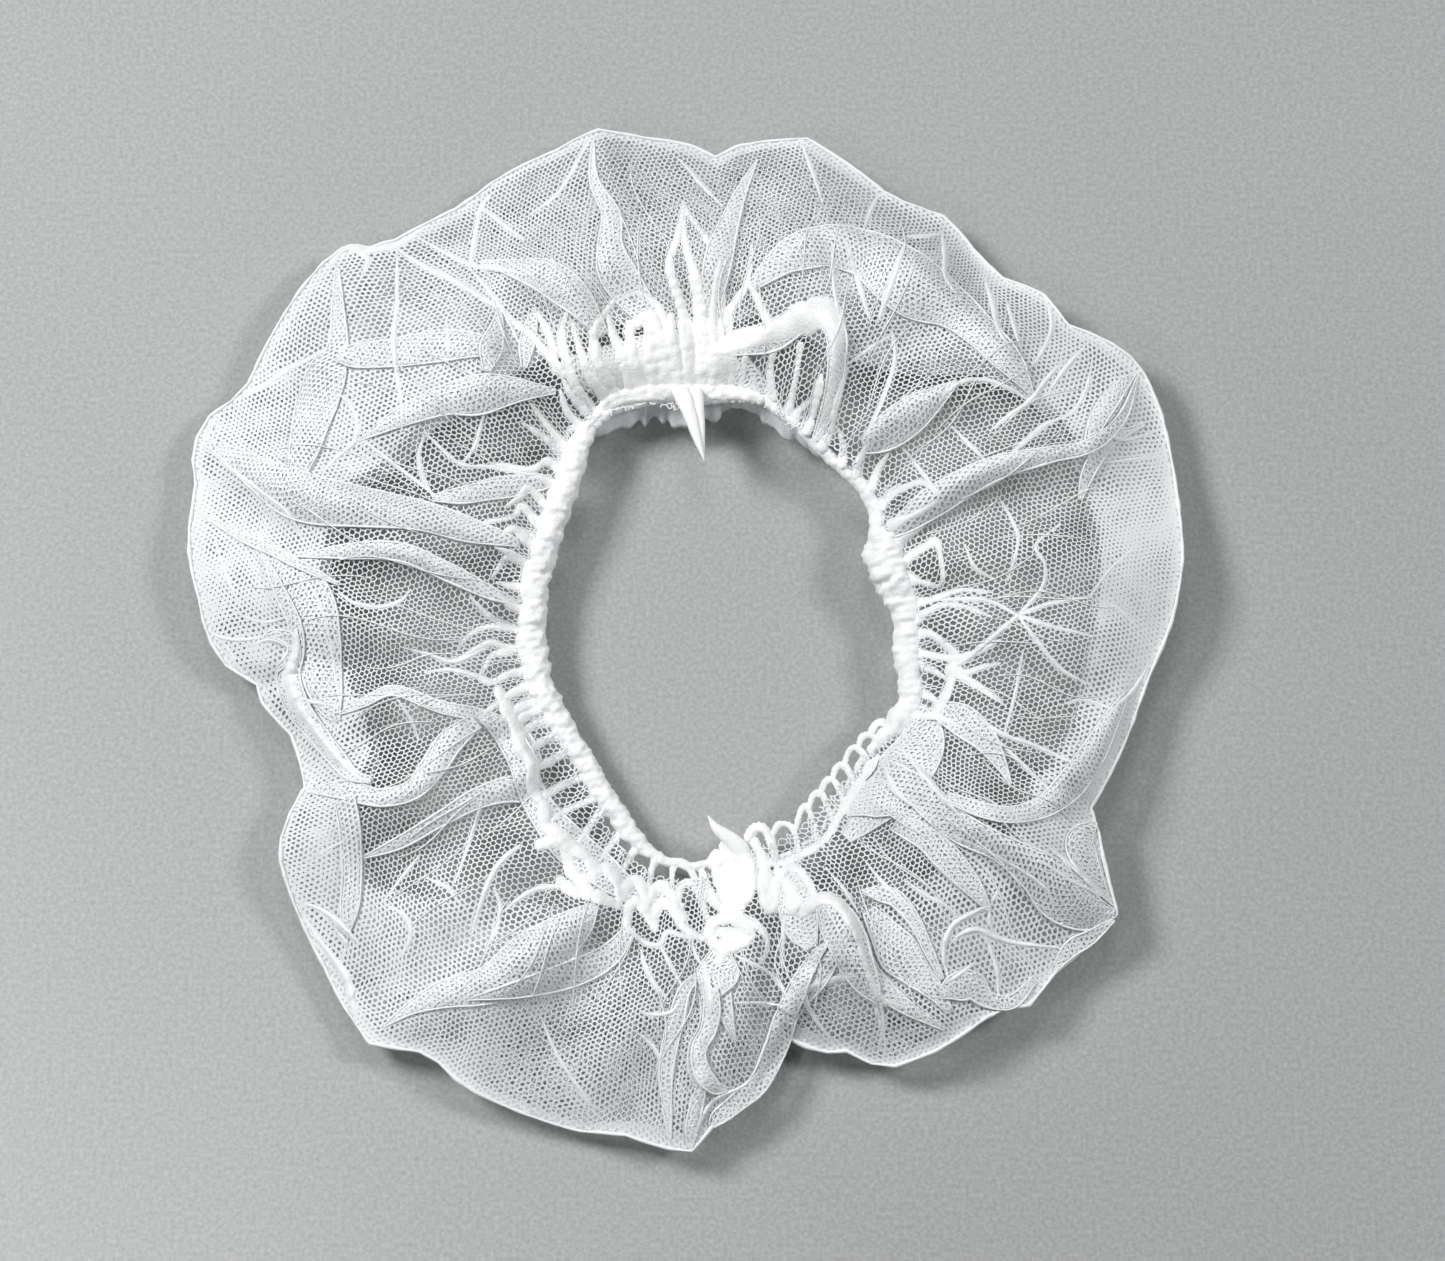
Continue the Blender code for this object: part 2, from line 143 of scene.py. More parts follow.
def softened(grid):
    """Heights averaged with their neighbours, which takes the solid's facets away."""
    for _ in range(SOFTENINGS):
        grid = (np.roll(grid, 1, 0) + 2 * grid + np.roll(grid, -1, 0)) / 4
        padded = np.pad(grid, ((0, 0), (1, 1)), mode="edge")
        grid = (padded[:, :-2] + 2 * grid + padded[:, 2:]) / 4
    return grid


def height_grid(node, start_height, direction, inner, outer):
    """The first height that vertical rays meet, on a grid of angles and of shares between two reaches."""
    tree = tree_of(node)
    grid = np.full((HEIGHT_ANGLES, HEIGHT_SHARES), np.nan)
    shares = np.linspace(EDGE_SHARE, 1 - EDGE_SHARE, HEIGHT_SHARES)
    for row in range(HEIGHT_ANGLES):
        angle = row * 360 / HEIGHT_ANGLES
        reaches = ring(inner, angle) * (1 - shares) + ring(outer, angle) * shares
        for column, place in enumerate(from_polar(reaches, angle)):
            found = tree.ray_cast(Vector((*place, start_height)), Vector((0, 0, direction)))[0]
            if found is not None:
                grid[row, column] = found.z
        known = ~np.isnan(grid[row])
        grid[row] = np.interp(shares, shares[known], grid[row][known])
    return softened(grid)


def read_grid(grid, angle, share):
    """The grid's value at any angle and share, joined smoothly between its points."""
    row = (angle % 360) * HEIGHT_ANGLES / 360
    column = np.clip((share - EDGE_SHARE) / (1 - 2 * EDGE_SHARE), 0, 1) * (HEIGHT_SHARES - 1)
    row_low = np.floor(row).astype(int)
    column_low = np.minimum(column.astype(int), HEIGHT_SHARES - 2)
    across = row - row_low
    along = column - column_low
    first = grid[row_low % HEIGHT_ANGLES]
    second = grid[(row_low + 1) % HEIGHT_ANGLES]
    picks = np.arange(len(column_low)) if column_low.ndim else ()
    low = first[picks, column_low] * (1 - along) + first[picks, column_low + 1] * along
    high = second[picks, column_low] * (1 - along) + second[picks, column_low + 1] * along
    return low * (1 - across) + high * across


TOP_GRID = height_grid("net_ruffle", 1.0, -1, NET_START, RIM_REACH)
LOW_GRID = height_grid("net_ruffle", -1.0, 1, NET_START, RIM_REACH)
BAND_GRID = height_grid("elastic_band", 1.0, -1, BAND_INSIDE, BAND_OUTSIDE)
HALF_WALL = 0.5 * MM
BAND_HALF_HEIGHT = 2.8 * MM
KNOT_PLACE = (2 * MM, 84 * MM)
KNOT_REACH = (26 * MM, 13 * MM)
KNOT_SAG = 7 * MM


def share_at(reach, angle):
    """0 at the net's inner edge and 1 at the rim."""
    start = start_at(angle)
    return (reach - start) / (rim_at(angle) - start)


def knot_sag(places):
    """How far the bunch that is tied at the top of the eye draws the net down."""
    away = (np.asarray(places) - KNOT_PLACE) / KNOT_REACH
    return KNOT_SAG * np.exp(-(away**2).sum(axis=-1))


def net_height(places):
    """The middle of the upper layer's wall at places in plan."""
    reach, angle = to_polar(places)
    return read_grid(TOP_GRID, angle, share_at(reach, angle)) - HALF_WALL - knot_sag(places)


def under_height(places):
    """The middle of the wall of the layer that is turned under."""
    reach, angle = to_polar(places)
    low = read_grid(LOW_GRID, angle, share_at(reach, angle)) + HALF_WALL
    return np.maximum(low - knot_sag(places), np.minimum(low, HALF_WALL))


def band_height(angle):
    """The height of the band's middle."""
    return read_grid(BAND_GRID, angle, np.full(np.shape(angle), 0.5)) - BAND_HALF_HEIGHT


print("upper layer, mm:", (TOP_GRID.min() / MM).round(1), "to", (TOP_GRID.max() / MM).round(1))

# %% [markdown]
# ## The camera and the photo's pixels
# The photo looks down at the cap from about 76 degrees. A pixel of the photo is a line of sight from the
# camera, and the place where that line meets the net is where a fold or a knot seen at that pixel belongs.
# So the folds below are listed as they are seen, in pixels of the 1445 by 1261 photo, and laid onto the net.

# %% Camera
PHOTO_SIZE = (1445, 1261)
CAMERA_TILT = math.radians(76)
CAMERA_DISTANCE = 1.0
FOCAL_PIXELS = 3492
SENSOR = 36
AIM = np.array((11.05, -2.63, 12.0)) * MM
PIXEL = CAMERA_DISTANCE / FOCAL_PIXELS

forward = np.array((0, math.cos(CAMERA_TILT), -math.sin(CAMERA_TILT)))
upward = np.array((0, math.sin(CAMERA_TILT), math.cos(CAMERA_TILT)))
eye_point = AIM - forward * CAMERA_DISTANCE

camera_data = bpy.data.cameras.new("camera")
camera_data.sensor_width = SENSOR
camera_data.lens = SENSOR * FOCAL_PIXELS / PHOTO_SIZE[0]
camera = bpy.data.objects.new("camera", camera_data)
bpy.context.scene.collection.objects.link(camera)
camera.location = eye_point
camera.rotation_euler = (math.pi / 2 - CAMERA_TILT, 0, 0)
bpy.context.scene.camera = camera
print("one pixel of the photo is", round(PIXEL / MM, 3), "mm on the cap")


def at_height(pixels, height):
    """Where the lines of sight through pixels meet a height."""
    pixels = np.array(pixels, float)
    right_of = (pixels[..., 0] - PHOTO_SIZE[0] / 2) / FOCAL_PIXELS
    above = (PHOTO_SIZE[1] / 2 - pixels[..., 1]) / FOCAL_PIXELS
    sight = forward + above[..., None] * upward
    sight[..., 0] += right_of
    reach = (height - eye_point[2]) / sight[..., 2]
    return (eye_point + reach[..., None] * sight)[..., :2]


SIGHT_STEPS = 8
FIRST_GUESS = 20 * MM


def on_net(pixels):
    """Where the lines of sight through pixels meet the upper layer, in plan."""
    places = at_height(pixels, FIRST_GUESS)
    for _ in range(SIGHT_STEPS):
        places = at_height(pixels, net_height(places))
    return places


# %% [markdown]
# ## Curves and seeded waves
# Every fold, cord and crease here follows a route given by a few points. A Catmull-Rom curve goes through
# each given point, so the route can be read straight off the photo. The small unevenness of cloth comes from
# sums of sine waves with seeded directions, which are smooth and the same in each run.

# %% Curves and waves
def curve(points, step):
    """A smooth curve through the given points, in any number of dimensions, with a point about every step."""
    points = np.array(points, float)
    padded = np.concatenate([[2 * points[0] - points[1]], points, [2 * points[-1] - points[-2]]])
    found = []
    for number in range(len(points) - 1):
        first, second, third, fourth = padded[number : number + 4]
        length = np.linalg.norm((third - second)[:2])
        share = np.linspace(0, 1, max(int(length / step), 1), endpoint=False)[:, None]
        pull = (third - first) * share + (2 * first - 5 * second + 4 * third - fourth) * share**2
        found.append(second + (pull + (3 * second - first - 3 * third + fourth) * share**3) / 2)
    return np.concatenate([*found, points[-1:]])


def waves(points, wavelength, seed, count=9):
    """Smooth seeded noise of about one wavelength, mostly between -1 and 1."""
    draw = np.random.default_rng(seed)
    heading = draw.normal(size=(points.shape[-1], count))
    heading *= 2 * np.pi / (np.linalg.norm(heading, axis=0) * wavelength * draw.uniform(0.7, 1.5, count))
    phase = draw.uniform(0, 2 * np.pi, count)
    return np.sin(points @ heading + phase).sum(axis=-1) / math.sqrt(count)


def eased(share):
    """0 below 0 and 1 above 1, with a smooth step between."""
    share = np.clip(share, 0, 1)
    return share * share * (3 - 2 * share)


print("a curve of length 10 in steps of 2 has", len(curve([(0, 0), (10, 0)], 2)), "points")

# %% [markdown]
# ## Honeycomb cloth
# The net is a honeycomb of soft thread with cells 1.5 mm apart. A picture of a net on a plain surface would
# look right from one distance only, so the threads are real faces here: the corners of each cell are set in
# from its junctions, and what is left between the cells is thread. Where the cloth is squeezed, the cells
# close and the net turns white by itself, as the real one does.

# %% Lattice and threads
CELL = 1.52 * MM
THREAD = 0.37 * MM
UNEVEN = 0.1 * MM
SPARE_CELLS = 3
MOST_INSET = 1.7
LEAST_HALF_SINE = 0.05
CORNER_LIMIT = 0.9


def lattice(low, high, turn, seed, uneven):
    """Two sets of junctions of a flat honeycomb that covers a rectangle. They point opposite ways."""
    along = np.array((math.cos(turn), math.sin(turn))) * CELL
    across = np.array((math.cos(turn + math.pi / 3), math.sin(turn + math.pi / 3))) * CELL
    corners = np.array([(x, y) for x in (low[0], high[0]) for y in (low[1], high[1])])
    counted = corners @ np.linalg.inv(np.array((along, across)))
    first = np.floor(counted.min(axis=0)).astype(int) - SPARE_CELLS
    last = np.ceil(counted.max(axis=0)).astype(int) + SPARE_CELLS
    column, row = np.meshgrid(np.arange(first[0], last[0]), np.arange(first[1], last[1]), indexing="ij")
    shake = np.random.default_rng(seed)
    found = []
    for share in (1 / 3, 2 / 3):
        places = (column + share)[..., None] * along + (row + share)[..., None] * across
        found.append(places + shake.normal(0, uneven, places.shape))
    return found


def shifted(grid, column, row):
    return np.roll(grid, (-column, -row), axis=(0, 1))


def unit(vectors):
    return vectors / np.maximum(np.linalg.norm(vectors, axis=-1, keepdims=True), 1e-9)


def honeycomb(low, high, turn, seed, worn, uneven=UNEVEN):
    """Net between two corners of a flat sheet. For flat points, worn gives their places, which of them are
    kept, and how full the thread is there."""
    flats = lattice(low, high, turn, seed, uneven)
    shape = flats[0].shape[:2]
    worn_points, kept, full = zip(*[worn(flat.reshape(-1, 2)) for flat in flats])
    up, down = [places.reshape(*shape, 3) for places in worn_points]
    kept_up, kept_down = [keep.reshape(shape) for keep in kept]
    thread = THREAD * full[0].reshape(shape)
    # The six corners of each cell, in order round it.
    round_cell = [up, shifted(down, -1, 0), shifted(up, -1, 0)]
    round_cell += [shifted(down, -1, -1), shifted(up, 0, -1), shifted(down, 0, -1)]
    cell = np.stack(round_cell, axis=2)
    middle = cell.mean(axis=2)
    to_next = np.roll(cell, -1, axis=2) - cell
    outline = np.linalg.norm(to_next, axis=3).sum(axis=2)
    area = np.linalg.norm(np.cross(cell - middle[:, :, None], to_next).sum(axis=2), axis=2) / 2
    inset = np.minimum(thread / 2, MOST_INSET * area / np.maximum(outline, 1e-9))
    ahead = unit(to_next)
    back = -np.roll(ahead, 1, axis=2)
    half_sine = np.sqrt(np.clip((1 - (back * ahead).sum(axis=3)) / 2, LEAST_HALF_SINE, 1))
    to_middle = np.linalg.norm(middle[:, :, None] - cell, axis=3)
    length = np.minimum(inset[..., None] / half_sine, CORNER_LIMIT * to_middle)
    corner = cell + unit(back + ahead) * length[..., None]
    # Each junction has one set-in corner in each of the three cells round it.
    of_up = [corner[:, :, 0], shifted(corner[:, :, 2], 1, 0), shifted(corner[:, :, 4], 0, 1)]
    of_down = [shifted(corner[:, :, 5], 0, 1), shifted(corner[:, :, 1], 1, 0), shifted(corner[:, :, 3], 1, 1)]
    points = np.concatenate([np.stack(three, axis=2).reshape(-1, 3) for three in (of_up, of_down)])
    flat = np.concatenate([np.repeat(places.reshape(-1, 2), 3, axis=0) for places in flats])
    index = 3 * np.arange(kept_up.size).reshape(shape)
    below = index + 3 * kept_up.size
    triangles = [index[kept_up][:, None] + np.arange(3), below[kept_down][:, None] + np.arange(3)]
    # A thread runs in three directions: the step to the junction at its far end, and the corners beside it.
    directions = ((0, 0, (2, 1), (1, 0)), (-1, 0, (0, 2), (2, 1)), (0, -1, (1, 0), (0, 2)))
    quads = []
    for column, row, up_pair, down_pair in directions:
        both = kept_up & shifted(kept_down, column, row)
        here = index[both][:, None] + up_pair
        quads.append(np.hstack([here, shifted(below, column, row)[both][:, None] + down_pair]))
    return points, flat, np.concatenate(triangles), np.concatenate(quads)


print("cells of the net:", CELL / MM, "mm apart, with thread", THREAD / MM, "mm wide")

# %% [markdown]
# ## Finishes
# White net looks white because its threads scatter light, so every finish is rough and nearly white, with
# faint uneven patches. The class below lets a material be written as arithmetic.

# %% Shader arithmetic
MIX_SHARE = 0
MIX_FIRST = 6
MIX_SECOND = 7
MIX_COLOUR = 2


class Signal:
    """A shader socket that can be used in sums: each operator adds one Math node."""

    def __init__(self, finish, socket):
        self.finish = finish
        self.socket = socket

    def maths(self, operation, first, second):
        return self.finish.node("ShaderNodeMath", {"operation": operation}, {0: first, 1: second})

    def __add__(self, other):
        return self.maths("ADD", self, other)

    def __sub__(self, other):
        return self.maths("SUBTRACT", self, other)

    def __rsub__(self, other):
        return self.maths("SUBTRACT", other, self)

    def __mul__(self, other):
        return self.maths("MULTIPLY", self, other)

    __radd__ = __add__
    __rmul__ = __mul__


class Finish:
    """A material whose nodes are added one call at a time."""

    def __init__(self, name):
        self.material = bpy.data.materials.new(name)
        self.material.use_nodes = True
        self.tree = self.material.node_tree
        self.shader = self.tree.nodes["Principled BSDF"]

    def set(self, sockets, target):
        for name, value in sockets.items():
            if isinstance(value, Signal):
                self.tree.links.new(value.socket, target.inputs[name])
            else:
                target.inputs[name].default_value = value

    def node(self, kind, settings, sockets, output=0):
        """A node with its settings made first and then its sockets, as a signal from one of its outputs."""
        made = self.tree.nodes.new(kind)
        for name, value in settings.items():
            setattr(made, name, value)
        self.set(sockets, made)
        return Signal(self, made.outputs[output])

    def spots(self, scale, detail, roughness=0.5):
        """Noise over the piece's own space, from 0 to 1."""
        place = self.node("ShaderNodeTexCoord", {}, {}, "Object")
        sockets = {"Vector": place, "Scale": scale, "Detail": detail, "Roughness": roughness}
        return self.node("ShaderNodeTexNoise", {}, sockets)

    def cells(self, scale):
        """The distance to the nearest edge of scattered cells, which stand for the holes of bunched net."""
        place = self.node("ShaderNodeTexCoord", {}, {}, "Object")
        settings = {"feature": "DISTANCE_TO_EDGE"}
        return self.node("ShaderNodeTexVoronoi", settings, {"Vector": place, "Scale": scale}, "Distance")

    def blend(self, share, first, second):
        """A colour between two, by a share."""
        sockets = {MIX_SHARE: share, MIX_FIRST: (*first, 1), MIX_SECOND: (*second, 1)}
        return self.node("ShaderNodeMix", {"data_type": "RGBA"}, sockets, MIX_COLOUR)


# %% [markdown]
# ## Seven whites
# The finishes differ in how white they are and in how much painted shade darkens their closed cells. The
# frill is the greyest, with painted shade for the shadow of the rope that it hangs in, and then the thread of
# open net. The thread of the pleats and of the layer turned under is painted lighter than the open net's, to
# make up for how the light falls on them. Bunched net is whiter, and the tied knots are nearly white, because
# many layers pass the light on to each other. The layer inside a fold lets a little light through.

# %% Thread and gathered net
PATCH_DETAIL = 3
PATCH_CONTRAST = 1.4
PATCH_START = 0.2
PATCH_ROUGHNESS = 0.2
HOLE_BUMP = 0.6
HOLE_DEPTH = 0.3 * MM
# Each finish has its darker and its lighter colour, its roughness, the scales of its patches and of its
# closed cells, how much painted shade darkens those cells, and its opacity.
FINISHES = {
    "net_thread": ((0.72, 0.75, 0.76), (0.83, 0.855, 0.86), 0.45, 60, 1500, 0, 1.0),
    "thread_painted_lighter": ((0.78, 0.81, 0.82), (0.92, 0.94, 0.95), 0.45, 60, 950, 0.6, 1.0),
    "fold_inside": ((0.76, 0.79, 0.80), (0.90, 0.925, 0.935), 0.5, 60, 1100, 1.2, 0.7),
    "gathered_net": ((0.84, 0.86, 0.87), (0.98, 0.985, 0.985), 0.5, 150, 900, 0.8, 1.0),
    "knotted_net": ((0.90, 0.915, 0.92), (0.99, 0.99, 0.99), 0.5, 150, 900, 0.5, 1.0),
    "crease_net": ((0.80, 0.825, 0.835), (0.95, 0.96, 0.965), 0.5, 150, 900, 0.9, 1.0),
    "frill_net_painted_shade": ((0.60, 0.62, 0.63), (0.84, 0.86, 0.87), 0.5, 220, 900, 0.6, 1.0),
}


def white_finish(name, shade, light, roughness, patch_scale, cell_scale, painted_hole_shade, opacity):
    finish = Finish(name)
    patches = finish.spots(patch_scale, PATCH_DETAIL)
    holes = finish.cells(cell_scale)
    relief = {"Strength": HOLE_BUMP, "Distance": HOLE_DEPTH, "Height": holes}
    bump = finish.node("ShaderNodeBump", {"invert": True}, relief)
    # Painted shade darkens the closed cells, for the shade inside the holes of bunched net.
    share = patches * PATCH_CONTRAST - PATCH_START - painted_hole_shade * holes
    colour = finish.blend(share, shade, light)
    finish.set({"Base Color": colour, "Roughness": roughness + PATCH_ROUGHNESS * patches}, finish.shader)
    finish.set({"Normal": bump, "Alpha": opacity}, finish.shader)
    return finish.material


finishes = {name: white_finish(name, *row) for name, row in FINISHES.items()}
print("finishes:", ", ".join(finishes))

# %% [markdown]
# ## Making objects
# Three kinds of surface are enough: honeycomb net, plain skins over a grid of points, and tubes round a
# route. Each gets a UV map with no overlaps.

# %% Objects from nets and from grids
UV_SPARE = 1.02
UV_GAP = 0.2 * MM
UV_FILLED = 0.98


def mesh_object(name, points, faces, spots, material, smooth):
    """An object from points, faces as arrays of triangles and of quads, and a UV place for each corner."""
    data = bpy.data.meshes.new(name)
    corners = np.concatenate([group.ravel() for group in faces])
    sizes = np.concatenate([np.full(len(group), group.shape[1]) for group in faces])
    used, corners = np.unique(corners, return_inverse=True)
    data.vertices.add(len(used))
    data.vertices.foreach_set("co", points[used].ravel())
    data.loops.add(len(corners))
    data.loops.foreach_set("vertex_index", corners)
    data.polygons.add(len(sizes))
    data.polygons.foreach_set("loop_start", np.cumsum(sizes) - sizes)
    data.polygons.foreach_set("use_smooth", np.full(len(sizes), smooth))
    data.update(calc_edges=True)
    data.uv_layers.new(name="OFBake").data.foreach_set("uv", spots.ravel())
    data.materials.append(material)
    made = bpy.data.objects.new(name, data)
    bpy.context.scene.collection.objects.link(made)
    return made


def thread_area(points, triangles, quads):
    """The area of triangles, and of quads from their diagonals."""
    corners = [points[triangles[:, number]] for number in range(3)]
    first = np.cross(corners[1] - corners[0], corners[2] - corners[0])
    corners = [points[quads[:, number]] for number in range(4)]
    second = np.cross(corners[2] - corners[0], corners[3] - corners[1])
    return (np.linalg.norm(first, axis=1).sum() + np.linalg.norm(second, axis=1).sum()) / 2


def shelved(sizes):
    """Places for rectangles on shelves, the tallest first, scaled into one unit square."""
    sizes = np.array(sizes)
    wide = max(sizes[:, 0].max(), math.sqrt(1.2 * sizes.prod(axis=1).sum()))
    places = np.zeros_like(sizes)
    right = top = shelf = 0.0
    for number in np.argsort(-sizes[:, 1], kind="stable"):
        if right + sizes[number, 0] > wide:
            top, right, shelf = top + shelf, 0.0, 0.0
        places[number] = right, top
        right += sizes[number, 0]
        shelf = max(shelf, sizes[number, 1])
    scale = 0.999 / max(wide, top + shelf)
    return places * scale, scale


def tubes_object(name, grids, material):
    """One object from grids of points. Each grid is closed across, and open or closed along."""
    sizes = []
    for grid, _ in grids:
        length = np.linalg.norm(np.diff(grid.mean(axis=1), axis=0), axis=1).sum()
        girth = np.linalg.norm(grid - np.roll(grid, 1, axis=1), axis=2).sum(axis=1).max()
        sizes.append((length * UV_SPARE + UV_GAP, girth * UV_SPARE + UV_GAP))
    places, scale = shelved(sizes)
    points, faces, spots = [], [], []
    first = 0
    for (grid, ring_closed), place, size in zip(grids, places, sizes):
        along, across = grid.shape[:2]
        steps = along if ring_closed else along - 1
        step, turn = np.meshgrid(np.arange(steps), np.arange(across), indexing="ij")
        corner_along = np.stack([step, step + 1, step + 1, step], axis=-1).reshape(-1, 4)
        corner_across = np.stack([turn, turn, turn + 1, turn + 1], axis=-1).reshape(-1, 4)
        faces.append(first + (corner_along % along) * across + corner_across % across)
        shares = np.stack([corner_along / steps, corner_across / across], axis=-1)
        spots.append((place + shares * size * UV_FILLED * scale).reshape(-1, 2))
        points.append(grid.reshape(-1, 3))
        first += along * across
    return mesh_object(name, np.concatenate(points), faces, np.concatenate(spots), material, True)


def tube(route, radius, height=1.0, sides=8, bumps=0.0, bump_length=3 * MM, seed=1, closed=False):
    """A grid round a route. Its height and its bumps are given as shares of its radius."""
    route = np.asarray(route)
    ahead = np.roll(route, -1, axis=0) - np.roll(route, 1, axis=0) if closed else np.gradient(route, axis=0)
    ahead = unit(ahead)
    side = unit(np.cross(ahead, (0, 0, 1)) + (0, 1e-6, 0))
    above = np.cross(side, ahead)
    turn = np.linspace(0, 2 * np.pi, sides, endpoint=False)
    out = side[:, None] * np.cos(turn)[None, :, None] + above[:, None] * np.sin(turn)[None, :, None] * height
    radius = np.broadcast_to(radius, len(route))[:, None, None]
    grid = route[:, None] + out * radius
    if bumps:
        grid = grid + out * radius * bumps * waves(grid, bump_length, seed)[..., None]
    return grid, closed


# %% [markdown]
# ## The pleats
# A pleat here is a fold that has been laid over, seen as a whiter band with two crisp edges, because three
# layers of net lie there. Each row is a place in the photo and the band's width there, in pixels.

